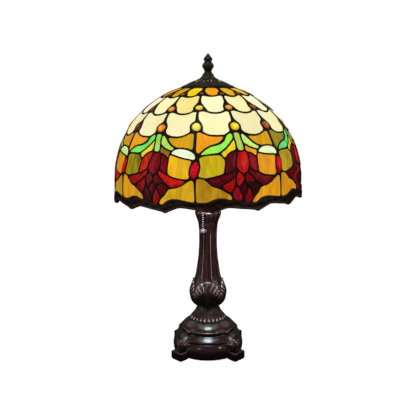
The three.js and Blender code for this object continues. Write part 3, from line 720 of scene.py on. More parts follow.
def even_leads():
    """grows the pieces until the lead between them is as narrow as it is leaded in life"""
    fixed = {n for n in loops if n == "J" or n.split("_")[0] in ("crown", "upper", "lower")}
    for _ in range(3):
        clouds = {}
        for n, q in loops.items():
            clouds[n] = np.vstack([dense(shifted(q, k) if k else q, 0.5) for k in (-1, 0, 1)])
        new = {}
        for n, q in loops.items():
            if n in fixed:
                continue
            box = (q[:, 0].min() - 8, q[:, 0].max() + 8, q[:, 1].min() - 8, q[:, 1].max() + 8)
            near = np.vstack([c for m, c in clouds.items() if m != n])
            near = near[(near[:, 0] > box[0]) & (near[:, 0] < box[1]) & (near[:, 1] > box[2]) & (near[:, 1] < box[3])]
            gap = dist_to(q, near)
            top = 0.34 if n in "LMNOPQRSTUVW" else 0.16
            move = np.clip(0.5 * (gap - LEAD_W), -0.3, top)
            move = 0.25 * np.roll(move, 1) + 0.5 * move + 0.25 * np.roll(move, -1)
            t = np.roll(q, -1, 0) - np.roll(q, 1, 0)
            t /= np.maximum(np.hypot(t[:, 0], t[:, 1]), 1e-9)[:, None]
            nn = np.stack([t[:, 1], -t[:, 0]], 1) * (1 if area(q) > 0 else -1)
            new[n] = even_loop(q + nn * move[:, None], LEAD_STEP, 0)
        loops.update(new)


def thin_out(pts, keep, gap):
    """keeps points that are at least gap from each other and from the kept ones"""
    cell = {}
    for p in keep:
        cell.setdefault((int(p[0] // gap), int(p[1] // gap)), []).append(p)
    out = []
    for p in pts:
        cx, cy = int(p[0] // gap), int(p[1] // gap)
        ok = True
        for i in (-1, 0, 1):
            for j in (-1, 0, 1):
                for q in cell.get((cx + i, cy + j), ()):
                    if (q[0] - p[0]) ** 2 + (q[1] - p[1]) ** 2 < gap * gap:
                        ok = False
                        break
        if ok:
            out.append(p)
            cell.setdefault((cx, cy), []).append(p)
    return np.array(out).reshape(-1, 2)


def triangulate(pts, segs):
    r = delaunay_2d_cdt([Vector(p) for p in pts], segs, [], 0, 1e-6)
    return np.array([tuple(v) for v in r[0]]), np.array([list(f) for f in r[2] if len(f) == 3]), r[3]


even_leads()
for _n in list(loops):
    if _n.split("_")[0] in ("crown", "upper", "lower") or _n.rstrip("01") in ("crown", "upper", "lower"):
        if not _n.endswith("jewel"):
            loops[_n] = offset_loop(loops[_n], -0.4)


# ------------------------------------------------------------- lead lattice
def lead_lattice():
    left = even_line(to_mm(CUT), 1.4)
    lp = to_polar(left)
    lp[:, 1] = np.clip(lp[:, 1], 0.8, 213.0)
    rp = lp.copy()
    rp[:, 0] += STEP
    left, right = to_mm(lp), to_mm(rp)
    top = even_line(np.stack([left[0], right[0]]), 2.0)[1:-1]
    n_b = 90
    tb = np.linspace(lp[-1, 0], rp[-1, 0], n_b)[1:-1]
    bottom = to_mm(np.stack([tb, np.full(len(tb), 213.0)], 1))
    border = np.vstack([left, bottom, right[::-1], top[::-1]])
    # this panel's pieces are those whose middle lies between its two cuts
    own = {}
    for name, q in loops.items():
        for k in (-1, 0, 1):
            qq = shifted(q, k) if k else q
            if inside(qq.mean(0)[None], border)[0]:
                own[(name, k)] = qq
    every = np.vstack([dense(shifted(q, k) if k else q) for q in loops.values() for k in (-1, 0, 1)])
    pts, segs = [], []

    def add_loop(q, closed=True):
        b = len(pts)
        pts.extend(q.tolist())
        n = len(q)
        segs.extend([(b + i, b + (i + 1) % n) for i in range(n if closed else n - 1)])

    add_loop(border)
    for q in own.values():
        add_loop(q)
    fixed = np.array(pts)
    cand = []
    for q in own.values():
        for d in (0.5, 1.05):
            cand.append(offset_loop(q, d))
    cand = np.vstack(cand)
    dd = dist_to(cand, every)
    want = np.repeat([0.0], len(cand))
    c2 = cand[dd > 0.42]
    gx = np.arange(border[:, 0].min(), border[:, 0].max(), 1.5)
    gy = np.arange(0.8, 213.0, 1.4)
    G = np.stack(np.meshgrid(gx, gy), -1).reshape(-1, 2)
    G[:, 0] += (np.round(G[:, 1] / 1.4) % 2) * 0.75
    G = G[inside(G, border)]
    G = G[dist_to(G, every) > 0.9]
    c2 = c2[inside(c2, border)]
    for q in own.values():
        c2 = c2[~inside(c2, q)]
        G = G[~inside(G, q)]
    db = dist_to(c2, dense(border))
    c2 = c2[db > 0.45]
    G = G[dist_to(G, dense(border)) > 0.7]
    steiner = thin_out(c2, fixed, 0.44)
    steiner = np.vstack([steiner, thin_out(G, np.vstack([fixed, steiner]), 0.85)])
    allp = np.vstack([fixed, steiner])
    V, T, orig = triangulate(allp, segs)
    cen = V[T].mean(1)
    ok = inside(cen, border)
    for q in own.values():
        ok &= ~inside(cen, q)
    T = T[ok]
    # where each input point went, to weld the two cuts
    where = {}
    for i, o in enumerate(orig):
        for j in o:
            where[j] = i
    nl = len(left)
    L = [where[i] for i in range(nl)]
    R = [where[nl + len(bottom) + (nl - 1 - i)] for i in range(nl)]
    dist = dist_to(V, every)
    bow = 1.15
    t = np.clip(dist / bow, 0, 1)
    h = 1.25 * np.sqrt(np.clip(1 - (1 - t) ** 2, 0, 1)) - 0.3
    h += 0.10 * np.sin(V[:, 0] * 0.9 + 1.3 * np.sin(V[:, 1] * 0.5)) * t
    h *= 0.55 + 0.45 * smooth01(shade_r(V[:, 1]) / 100.0)
    n = len(V)
    P = to_polar(V)
    mapR = {r: l for r, l in zip(R, L)}
    verts = np.zeros((7, n, 2, 3))
    wear_and_highlight = np.zeros((7, n, 2))
    for k in range(7):
        th, s = warp(P[:, 0] + k * STEP, P[:, 1])
        lump = 0.12 * np.sin(V[:, 0] * 1.7 + k * 2.1) * np.sin(V[:, 1] * 1.3 + k) * t
        verts[k, :, 0] = on_shade(th, s, h + lump)
        verts[k, :, 1] = on_shade(th, s, -3.0 - 0.8 * h)
        # each bead's crest is lighter: partly rubbed solder, partly a painted highlight
        wear_and_highlight[k, :, 0] = wear_and_highlight[k, :, 1] = smooth01((h - 0.5) / 0.6)
    # edges used by one triangle only, less the cuts, get side walls
    e = np.sort(np.vstack([T[:, [0, 1]], T[:, [1, 2]], T[:, [2, 0]]]), axis=1)
    u, c = np.unique(e, axis=0, return_counts=True)
    rim = {tuple(x) for x in u[c == 1]}
    cut = {tuple(sorted(x)) for x in list(zip(L, L[1:])) + list(zip(R, R[1:]))}
    rim -= cut
    faces = []

    def gid(k, i, side):
        if i in mapR:
            k, i = (k + 1) % 7, mapR[i]
        return (k * n + i) * 2 + side

    for k in range(7):
        for a, b, c3 in T:
            ia, ib, ic = (gid(k, a, 0), gid(k, b, 0), gid(k, c3, 0))
            ja, jb, jc = (gid(k, a, 1), gid(k, b, 1), gid(k, c3, 1))
            faces.append([ia, ib, ic])
            faces.append([ja, jc, jb])
            for p, q in ((a, b), (b, c3), (c3, a)):
                if tuple(sorted((p, q))) in rim:
                    faces.append([gid(k, q, 0), gid(k, p, 0), gid(k, p, 1), gid(k, q, 1)])
    V3 = verts.reshape(-1, 3)
    W3 = wear_and_highlight.reshape(-1)
    used = np.unique(np.concatenate([np.asarray(f) for f in faces]))
    back = -np.ones(len(V3), int)
    back[used] = np.arange(len(used))
    faces = [[back[i] for i in f] for f in faces]
    print("lead lattice", len(used), "verts", len(faces), "faces, own pieces", len(own))
    return make_mesh("lead_lines", V3[used], faces, [M_LEAD], "shade",
                     attrs={"wear_and_highlight": ("FLOAT", W3[used])}, sharp=50,
                     replaces=("lead_ring_crown", "lead_ring_upper", "lead_ring_lower"))


lead_lattice()


# ----------------------------------------------------------- sheet of glass
def slab(loop, k, grow=0.5, t_glass=3.0, crown=0.25, grid=3.0):
    """a piece of sheet glass: verts, faces, flat coordinates"""
    q = offset_loop(loop, grow)
    lo, hi = q.min(0), q.max(0)
    G = np.stack(np.meshgrid(np.arange(lo[0] + 1.2, hi[0], grid), np.arange(lo[1] + 1.2, hi[1], grid)), -1).reshape(-1, 2)
    G = G[inside(G, q)]
    if len(G):
        G = G[dist_to(G, dense(q)) > 1.0]
    n = len(q)
    V, T, _ = triangulate(np.vstack([q, G]) if len(G) else q, [(i, (i + 1) % n) for i in range(n)])
    T = T[inside(V[T].mean(1), q)]
    dist = dist_to(V, dense(q))
    d = crown * smooth01(dist / 5.0) - 0.12 * (dist < 0.05)
    P = to_polar(V)
    th, s = warp(P[:, 0] + k * STEP, P[:, 1])
    top = on_shade(th, s, d)
    bot = on_shade(th, s, -t_glass + 0.0 * d)
    m = len(V)
    e = np.sort(np.vstack([T[:, [0, 1]], T[:, [1, 2]], T[:, [2, 0]]]), axis=1)
    u, c = np.unique(e, axis=0, return_counts=True)
    rim = {tuple(x) for x in u[c == 1]}
    F = []
    for a, b, c3 in T:
        F.append([a, b, c3])
        F.append([m + a, m + c3, m + b])
        for p, r in ((a, b), (b, c3), (c3, a)):
            if tuple(sorted((p, r))) in rim:
                F.append([r, p, m + p, m + r])
    return np.vstack([top, bot]), F, np.vstack([V, V])


class Pile:
    """pieces of glass that share an object"""

    def __init__(self):
        self.V, self.F, self.M, self.c1, self.c2, self.st, self.n = [], [], [], [], [], [], 0

    def add(self, V, F, flat, mat, c1, c2, angle=0.0, depth=None):
        # depth scales each point's two colours; the jewels use it for a painted glow, brighter at the middle and darker
        # at the rim
        depth = np.ones(len(V)) if depth is None else depth
        self.V.append(V)
        self.F += [[i + self.n for i in f] for f in F]
        self.M += [mat] * len(F)
        self.n += len(V)
        self.c1.append(np.column_stack([np.outer(depth, lin(c1)), np.ones(len(V))]))
        self.c2.append(np.column_stack([np.outer(depth, lin(c2)), np.ones(len(V))]))
        o = rng.uniform(-500, 500, 2)
        c, s = math.cos(angle), math.sin(angle)
        self.st.append(np.stack([flat[:, 0] * c - flat[:, 1] * s + o[0],
                                 flat[:, 0] * s + flat[:, 1] * c + o[1], 0 * flat[:, 0]], 1))

    def build(self, name, mats, replaces, slot, sharp=40):
        return make_mesh(name, np.vstack(self.V), self.F, mats, "shade", face_mat=self.M, sharp=sharp,
                         attrs={"c1": ("FLOAT_COLOR", np.vstack(self.c1)),
                                "c2": ("FLOAT_COLOR", np.vstack(self.c2)),
                                "st": ("FLOAT_VECTOR", np.vstack(self.st))},
                         replaces=replaces)


def dim(c, f):
    return tuple(min(255, max(0, v * f)) for v in c)


# colours of the pieces, two for each, panel by panel
T1 = {"A": ((248, 172, 28), (238, 148, 22)), "B": ((140, 250, 110), (165, 240, 55)),
      "C": ((140, 180, 58), (190, 216, 98)), "D": ((212, 245, 130), (190, 235, 110)),
      "E": ((250, 220, 30), (235, 190, 25)), "F": ((238, 165, 38), (225, 145, 30)),
      "G": ((222, 165, 22), (200, 145, 20)), "H": ((225, 252, 180), (240, 255, 205)),
      "I": ((215, 185, 30), (185, 160, 22)), "K": ((240, 160, 30), (205, 135, 20)),
      "L": ((78, 14, 22), (105, 18, 25)), "M": ((225, 32, 20), (185, 14, 14)),
      "N": ((165, 20, 25), (140, 16, 22)), "O": ((105, 15, 25), (80, 10, 20)),
      "P": ((185, 22, 20), (160, 16, 20)), "Q": ((205, 25, 18), (175, 14, 16)),
      "R": ((142, 15, 25), (115, 12, 20)), "S": ((122, 15, 30), (95, 10, 22)),
      "T": ((168, 18, 40), (140, 12, 32)), "U": ((88, 10, 24), (65, 8, 18)),
      "V": ((138, 15, 20), (105, 10, 16)), "W": ((62, 10, 20), (48, 8, 16)),
      "X": ((195, 145, 28), (160, 115, 20)), "Y": ((240, 168, 26), (205, 140, 22))}
T0 = {"A": ((222, 148, 22), (245, 165, 25)), "B": ((130, 240, 100), (105, 220, 90)),
      "C": ((190, 245, 160), (150, 215, 80)), "D": ((200, 232, 80), (175, 220, 95)),
      "E": ((225, 195, 30), (235, 220, 60)), "F": ((172, 115, 22), (140, 95, 20)),
      "G": ((235, 162, 22), (185, 160, 22)), "H": ((245, 255, 222), (235, 245, 205)),
      "I": ((168, 148, 22), (110, 95, 15)), "K": ((245, 192, 28), (215, 165, 28)),
      "L": ((235, 60, 30), (190, 25, 18)), "M": ((152, 12, 17), (120, 10, 18)),
      "N": ((142, 12, 22), (115, 10, 18)), "O": ((130, 15, 20), (165, 22, 22)),
      "P": ((160, 15, 20), (130, 12, 20)), "Q": ((130, 15, 25), (105, 12, 22)),
      "R": ((120, 15, 25), (95, 12, 20)), "S": ((185, 22, 20), (215, 30, 25)),
      "T": ((82, 10, 20), (60, 8, 16)), "U": ((110, 10, 25), (85, 8, 20)),
      "V": ((130, 15, 25), (150, 20, 30)), "W": ((115, 15, 20), (90, 12, 18)),
      "X": ((225, 162, 26), (195, 135, 22)), "Y": ((225, 175, 30), (195, 150, 26))}
T2 = dict(T1, A=((150, 130, 25), (120, 110, 22)), I=((188, 162, 35), (150, 130, 28)),
          X=((218, 152, 30), (190, 130, 25)), B=((115, 240, 130), (90, 215, 90)),
          L=((120, 18, 22), (90, 12, 20)))
T9 = dict(T0, G=((228, 162, 30), (205, 145, 26)), H=((192, 240, 142), (215, 250, 175)),
          K=((228, 162, 26), (205, 140, 22)), Y=((198, 152, 30), (175, 140, 28)))
PANELS = [T1, T2, T0, T1, T9, T9, T0]
FAMILY = {**{c: 0 for c in "ABCDEFGHIKXY"}, **{c: 1 for c in "LMNOPQRSTUVW"}}
LEAN = {"B": 0.9, "D": -0.7, "A": 0.15, "O": 1.1, "S": -1.0, "P": 0.6, "H": 1.4, "L": 0.15,
        "X": 0.05, "Y": -0.05, "K": 0.05, "I": 0.0, "M": 0.03}
cache = {}
for k in range(7):
    pile = Pile()
    for name in P7:
        V, F, flat = slab(loops[name], k, 0.5, 3.0, 0.35 if name in "HMLN" else 0.2)
        c1, c2 = PANELS[k][name]
        f = 1.0 if k in (0, 6) else rng.uniform(0.9, 1.08)
        pile.add(V, F, flat, FAMILY[name], dim(c1, f), dim(c2, f), LEAN.get(name, 0.0))
    pile.build(f"tulip_glass_{k + 1}", [M_GLASS, M_RED], (f"tulip_panel_{k + 1}",), "tulip_glass")

CROWN_C = {0: (250, 178, 24), 1: (235, 190, 28), 2: (250, 212, 42), 13: (250, 226, 24), 12: (218, 172, 22)}
UPPER_C = {0: (255, 254, 208), 1: (250, 243, 184), 2: (255, 252, 216), 13: (252, 234, 148), 12: (255, 248, 188)}
LOWER_C = {0: (255, 250, 196), 1: (245, 239, 192), 2: (248, 242, 190), 13: (250, 243, 190), 12: (247, 238, 188)}
for row, node, cols, mat, slot, rest in (
        ("crown", "glass_crown_band", CROWN_C, M_GLASS, "amber_glass", [(240, 180, 30), (250, 205, 40), (225, 160, 25)]),
        ("upper", "glass_cream_upper", UPPER_C, M_CREAM, "cream_glass", [(252, 243, 200), (250, 236, 180), (254, 248, 215)]),
        ("lower", "glass_cream_lower", LOWER_C, M_CREAM, "cream_glass", [(249, 242, 194), (251, 245, 200), (245, 237, 188)])):
    pile = Pile()
    for k in range(7):
        for j in (0, 1):
            V, F, flat = slab(loops[f"{row}{j}"], k, 0.5, 3.0, 0.25)
            i = (2 * k + j) % 14
            c = cols.get(i, rest[i % 3])
            c2 = (c[0] * 0.97, c[1] * (0.86 if row == "crown" else 0.95), c[2] * (0.7 if row == "crown" else 0.88))
            pile.add(V, F, flat, 0, c, c2, rng.uniform(-0.4, 0.4) if row != "crown" else PI / 2)
    pile.build(f"{row}_glass", [mat], (node,), slot)


# ------------------------------------------------------------------ jewels
def jewel(theta, s, ra, rb, height, lean=0.0, k=0, n=36, m=7, facet=0):
    """a domed cabochon on the shade: semi-axes ra across and rb along, in mm"""
    V, flat = [], []
    for i in range(m + 1):
        t = math.sin(i / m * PI / 2)
        a = np.linspace(0, 2 * PI, n, endpoint=False)
        x, y = ra * t * np.cos(a), rb * t * np.sin(a)
        x = x + lean * y
        if i == 0:
            x, y = x[:1], y[:1]
        d = -0.5 + height * math.sqrt(max(0.0, 1 - t * t))
        th, ss = theta + k * STEP + np.degrees(x / shade_r(s + y)), s + y
        th, ss = warp(th, ss)
        V.append(on_shade(th, ss, d))
        flat.append(np.stack([x, y], 1))
    base = np.vstack(V)
    a = np.linspace(0, 2 * PI, n, endpoint=False)
    x, y = ra * 0.92 * np.cos(a), rb * 0.92 * np.sin(a)
    x = x + lean * y
    th, ss = warp(theta + k * STEP + np.degrees(x / shade_r(s + y)), s + y)
    under = on_shade(th, ss, -3.2)
    VV = np.vstack([base, under])
    F = [[0, 1 + j, 1 + (j + 1) % n] for j in range(n)]
    for i in range(1, m + 1):
        o, p = 1 + (i - 1) * n, 1 + i * n
        F += [[o + j, p + j, p + (j + 1) % n, o + (j + 1) % n] for j in range(n)]
    F.append([1 + m * n + j for j in range(n)])
    return VV, F, np.vstack([*flat, np.stack([x, y], 1)])


JC_LOWER = {13: (240, 150, 34), 0: (255, 250, 120), 1: (255, 222, 50), 2: (168, 88, 20), 12: (92, 48, 16), 3: (88, 40, 14)}
JC_UPPER = {13: (236, 160, 40), 0: (252, 216, 90), 1: (236, 166, 44), 2: (150, 86, 24), 12: (110, 60, 20), 3: (84, 40, 16)}
HOT = (0, 1, 13)
rounds = Pile()
for k in range(7):
    for j in (0, 1):
        i = (2 * k + j) % 14
        for name, cols, base in (("lower_jewel", JC_LOWER, (225, 160, 35)), ("upper_jewel", JC_UPPER, (215, 150, 40)),
                                 ("crown_jewel", {}, (150, 95, 30))):
            t0, s0, r0 = ROUND[name]
            c = cols.get(i, dim(base, rng.uniform(0.8, 1.1)))
            V, F, flat = jewel(t0 + j * STEP / 2, s0, r0 + 0.5, r0 + 0.5, r0 * 0.42, k=k, n=32, m=6)
            # painted glow: each jewel's colours brighter at its middle, darker towards its rim
            t = np.clip(np.hypot(flat[:, 0], flat[:, 1]) / (r0 + 0.5), 0, 1)
            rounds.add(V, F, flat, 0, c, (c[0] * 0.9, c[1] * 0.78, c[2] * 0.6), 0.0, 1.4 - 1.12 * t ** 2.4)
rounds.build("round_jewels", [M_JEWEL], (), "jewel_glass")
for k in range(7):
    p = Pile()
    V, F, flat = jewel(-7.25, 161.0, 5.9, 12.2, 3.4, lean=-0.18, k=k, n=48, m=10)
    # painted glow: the red jewel brighter at its middle, darker towards its rim
    t = np.clip(np.hypot(flat[:, 0] / 5.9, flat[:, 1] / 12.2), 0, 1)
    p.add(V, F, flat, 0, (204, 14, 34), (168, 8, 26), 0.0, 1.3 - 0.85 * t ** 2.4)
    p.build(f"red_jewel_{k + 1}", [M_JEWEL], (f"seam_jewel_{k + 1}",), "jewel_glass")

# ---------------------------------------------------------------- cast rim
UP = np.array([(-7.2, 208.2), (-4, 208.3), (-1, 207.9), (1, 205.9), (3.2, 203.5), (5.2, 202), (7.8, 202),
               (10.5, 204), (12.6, 205.9), (15, 206.4), (17.5, 207.3), (19.2, 209.2), (21.6, 211.0),
               (24.5, 211.4), (26.8, 211), (28.3, 208), (30, 205.2), (32, 203.9), (35, 204),
               (38, 205.5), (41.3, 207), (44.23, 208.2)])
LOW = np.array([(0, 223.6), (4, 219.5), (7.5, 216.2), (9, 215.6), (12, 216.3), (16, 218), (20, 219.5),
                (23, 220.8), (24.5, 221.9), (25.715, 223.6)])


def rim_band():
    n, m = 840, 14
    th = np.arange(n) * 360.0 / n
    up = np.interp((th + 7.2) % STEP - 7.2, UP[:, 0], UP[:, 1]) - 0.9
    lo = np.interp((th - 1.6) % (STEP / 2), LOW[:, 0], LOW[:, 1])
    ker = np.hanning(11)
    ker /= ker.sum()
    up = np.convolve(np.r_[up[-5:], up, up[:5]], ker, "valid")
    ker = np.hanning(7)
    ker /= ker.sum()
    lo = np.convolve(np.r_[lo[-3:], lo, lo[:3]], ker, "valid")
    rows, wear_and_highlight = [], []
    for side in (1, -1):
        ts = np.linspace(0, 1, m)
        if side < 0:
            ts = ts[::-1]
        for t in ts:
            edge = min(t, 1 - t)
            s = up + (lo - up) * t
            mm = edge * (lo - up)
            round_ = np.sqrt(np.clip(1 - (1 - np.clip(mm / 1.4, 0, 1)) ** 2, 0, 1))
            bead = 0.9 * np.exp(-((lo - s - 1.8) / 1.3) ** 2)
            x = th * 2.57
            vein = 0.2 * np.sin(x * 0.16 + s * 0.7 + 2.6 * np.sin(x * 0.045)) * smooth01(mm / 3.0)
            vein += 0.14 * np.sin(x * 0.41 - s * 0.5 + 1.7 * np.sin(x * 0.13)) * smooth01(mm / 3.0)
            h = 0.2 + 1.3 * round_ + (bead + vein if side > 0 else 0)
            d = h if side > 0 else -3.0 - 0.2 - 1.0 * round_
            tw, sw = warp(th, s)
            rows.append(on_shade(tw, sw, d))
            # outside, the bead and veins are lighter, part wear and part painted highlight; the inside is kept darker
            wear_and_highlight.append(np.clip(0.25 + 0.9 * (bead + vein), 0, 1) if side > 0 else 0.1 + 0 * s)
    R = len(rows)
    V = np.stack(rows, 1).reshape(-1, 3)
    W = np.stack(wear_and_highlight, 1).reshape(-1)
    F = []
    for i in range(n):
        i2 = (i + 1) % n
        for j in range(R):
            j2 = (j + 1) % R
            F.append([i * R + j, i2 * R + j, i2 * R + j2, i * R + j2])
    return make_mesh("rim_band_cast", V, F, [M_RIM], "shade", attrs={"wear_and_highlight": ("FLOAT", W)}, sharp=60,
                     replaces=("rim_band",))


rim_band()


# ----------------------------------------------------- vase cap and finial
def cap():
    prof = resample([[41, 430.4], [41.0, 431.4], [39.0, 433], [34.5, 435], [29.5, 437], [25.0, 438.8], [20.4, 440.6],
                     [16.6, 442.2], [13.4, 443.8], [10.9, 445.6], [9.5, 447.6], [9.0, 450]], 0.55)

    def disp(T, R, Z):
        f = np.clip((R - 10.0) / (31.0 - 10.0), 0, 1)
        n = 12
        sp = 360.0 / n
        ph = ((T + sp / 2) % sp - sp / 2) / (sp / 2)
        w = 0.95 * np.sin(PI * np.clip(f * 0.92 + 0.04, 0, 1)) ** 0.8
        line = np.exp(-((np.abs(ph) - w) / 0.13) ** 2) * ((f > 0.01) & (f < 0.99))
        mid = np.exp(-(ph / 0.09) ** 2) * (f < 0.85) * (f > 0.05)
        curl = np.exp(-(((np.abs(ph) - 0.95) / 0.22) ** 2 + ((f - 0.72) / 0.09) ** 2))
        bead = np.exp(-((ph / 0.2) ** 2 + ((f - 0.5) / 0.10) ** 2))
        fil = 0.75 * line + 0.5 * mid + 0.8 * curl + 0.7 * bead
        ring = 0.4 * np.exp(-((R - 32.4) / 0.7) ** 2) + 0.4 * np.exp(-((R - 39.9) / 0.8) ** 2)
        h = np.clip(fil, 0, 1.1) * 0.8 + ring
        h *= smooth01((R - 9.4) / 1.5)
        band = np.exp(-((f - 0.5) / 0.26) ** 2)
        # lit scatters painted glints over the embossed band; the mask also grows darker towards the outer brim
        lit = np.clip(0.6 + 0.6 * np.sin(np.radians(T) * 7 + 1.0) + 0.5 * np.sin(np.radians(T) * 17 + f * 9), 0, 1)
        wear_and_highlight = 0.22 + 0.2 * smooth01((R - 16) / 12.0) * (1 - smooth01((R - 36) / 4.0))
        wear_and_highlight = wear_and_highlight + 1.15 * np.clip(curl + bead + 0.6 * line, 0, 1) * band * lit
        wear_and_highlight = wear_and_highlight * (1 - 0.85 * smooth01((R - 37.5) / 2.5))
        return 0.35 * h, 0.9 * h, np.clip(wear_and_highlight, 0, 1)

    V, F, W = revolve(prof, [[3.7, 450], [3.7, 446.4], [8.2, 445.2], [19, 438.6], [27.5, 435], [39.2, 430.4]], 360, disp)
    make_mesh("vase_cap_cast", V, F, [M_CAP], "shade", attrs={"wear_and_highlight": ("FLOAT", W)}, sharp=55,
              replaces=("vase_cap",))


def finial():
    prof = resample([[8.6, 450.3], [8.0, 451.2], [7.1, 452.0], [6.2, 453.2], [5.7, 455], [5.9, 456.6], [6.8, 458.4],
                     [8.2, 460.3], [9.2, 462], [9.4, 463.5], [8.8, 465.5], [7.1, 467.6], [5.8, 469.2], [5.6, 470.2], [6.2, 471.6],
                     [7.0, 473], [6.8, 474.4], [5.9, 475.8], [5.0, 476.8], [4.1, 478], [3.1, 479.3], [2.1, 480.8], [0.0, 482.6]], 0.45)

    def disp(T, R, Z):
        a = np.radians(T)
        body = smooth01((Z - 457) / 2) * (1 - smooth01((Z - 466) / 2))
        tip = smooth01((Z - 469) / 1.5) * (1 - smooth01((Z - 478.5) / 3))
        g = np.abs(np.cos(5 * a + 0.05 * (Z - 460)))
        g2 = np.abs(np.cos(4 * a + 0.12 * (Z - 470)))
        dr = -0.5 * (1 - g) ** 1.3 * body - 0.4 * (1 - g2) ** 1.3 * tip
        w = np.clip(0.06 + 0.2 * g * body + 0.2 * g2 * tip, 0, 1)
        return dr * (R > 0.5), 0 * R, w

    V, F, W = revolve(prof, [[5.0, 459.2], [5.0, 450.3]], 120, disp)
    # the hole's top is closed by the profile's jump, so the body is rebuilt with its top on the axis
    prof2 = np.vstack([prof])
    V, F, W = revolve(prof2, [], 120, disp)
    # underside with a stepped hole for the threaded insert
    outer0 = prof[0]
    n = 120
    th = np.radians(np.arange(n) * 360.0 / n)
    rings = [(5.0, 450.3), (5.0, 459.2)]
    base = len(V)
    V = list(map(tuple, V))
    first = [i for i in range(len(V)) if abs(V[i][2] - outer0[1]) < 1e-6]
    ids = []
    for r, z in rings:
        ids.append([len(V) + j for j in range(n)])
        V += [(r * math.sin(a), -r * math.cos(a), z) for a in th]
    first.sort(key=lambda i: math.atan2(V[i][0], -V[i][1]) % (2 * PI))
    loop0 = first
    for A, B in ((loop0, ids[0]), (ids[0], ids[1])):
        for j in range(n):
            F.append([A[j], A[(j + 1) % n], B[(j + 1) % n], B[j]])
    F.append(ids[1][::-1])
    W = np.r_[W, np.zeros(len(V) - base)]
    make_mesh("finial_cast", V, F, [M_CAP], "finial", attrs={"wear_and_highlight": ("FLOAT", W)}, sharp=50,
              replaces=("finial",))


cap()
finial()


# ------------------------------------------------------- base and column
def ridge(T, n, phase, power):
    """1 on n narrow ridges round the axis, 0 in the flutes between them"""
    return np.abs(np.cos(np.radians((T - phase) * n / 2.0))) ** power


def reeds(T, n, phase=0.0):
    """convex reeds: 1 on a reed's crest, 0 in the cut between two"""
    w = 360.0 / n
    ph = ((T - phase + w / 2) % w - w / 2) / (w / 2)
    return np.sqrt(np.clip(1 - (ph * 0.97) ** 2, 0, 1))


def base_casting():
    prof = resample([[56.0, 1.6], [57.2, 4.5], [57.9, 8.5], [58.1, 12.5], [57.6, 16.5], [56.5, 20.3], [54.7, 23.6],
                     [52.8, 25.8], [51.6, 26.7]], 0.6)
    prof = np.vstack([prof, resample([[51.0, 26.8], [51.0, 27.3], [52.6, 27.5], [53.2, 28.3], [52.9, 29.2], [51.8, 30.4],
                     [50.2, 31.7], [48.4, 33.1], [46.8, 34.3], [45.9, 35.4]], 0.35),
                     resample([[44.6, 35.9], [43.9, 37.0], [43.8, 38.2], [43.6, 39.2], [44.1, 40.2], [44.9, 40.7], [45.3, 41.5],
                               [45.0, 42.4], [44.0, 42.9]], 0.3),
                     resample([[43.4, 43.2], [42.6, 44.8], [41.2, 46.6], [39.1, 48.5], [36.7, 50.3], [34.1, 51.9],
                               [31.7, 53.3], [29.4, 54.4]], 0.6), [[24, 54.9]]])

    def disp(T, R, Z):
        # painted highlights: light bands round the drum (z 19), the shoulder (z 28.4), the dome's lip (z 41.6) and the
        # dome's top (z 47); darker towards the bottom
        w = 0.08 + 0.22 * np.exp(-((Z - 19) / 4.0) ** 2) + 0.35 * np.exp(-((Z - 41.6) / 1.0) ** 2)
        w = w + 0.16 * np.exp(-((Z - 47.0) / 3.0) ** 2) + 0.22 * np.exp(-((Z - 28.4) / 0.9) ** 2) - 0.08 * smooth01((9.0 - Z) / 5.0)
        return 0 * R, 0 * Z, np.clip(w, 0, 1)

    inner = [[5.6, 54.9], [5.6, 50.6], [28, 49.4], [40.5, 39], [45, 32], [50.6, 21.5], [53.4, 12], [52, 1.6]]
    parts = [revolve(prof, inner, 256, disp)]
    for a in (45, 135, 225, 315):
        ra = math.radians(a)
        v, f = rounded_box((51.5 * math.cos(ra), 51.5 * math.sin(ra), 7.65), (21.5, 11.45, 6.15), 1.1, ra, 3)
        v = np.asarray(v)
        # a painted highlight along the top edges of each foot
        edge = (v[:, 2] > 12.8) & (v[:, 2] < 13.72)
        parts.append((v, f, np.where(edge, 0.5, 0.03)))
        parts.append(leaf(ra))
    V, F, W = merge(parts)
    make_mesh("base_cast", V, F, [M_BRONZE], "root", attrs={"wear_and_highlight": ("FLOAT", W)}, sharp=48,
              replaces=("base_casting",))


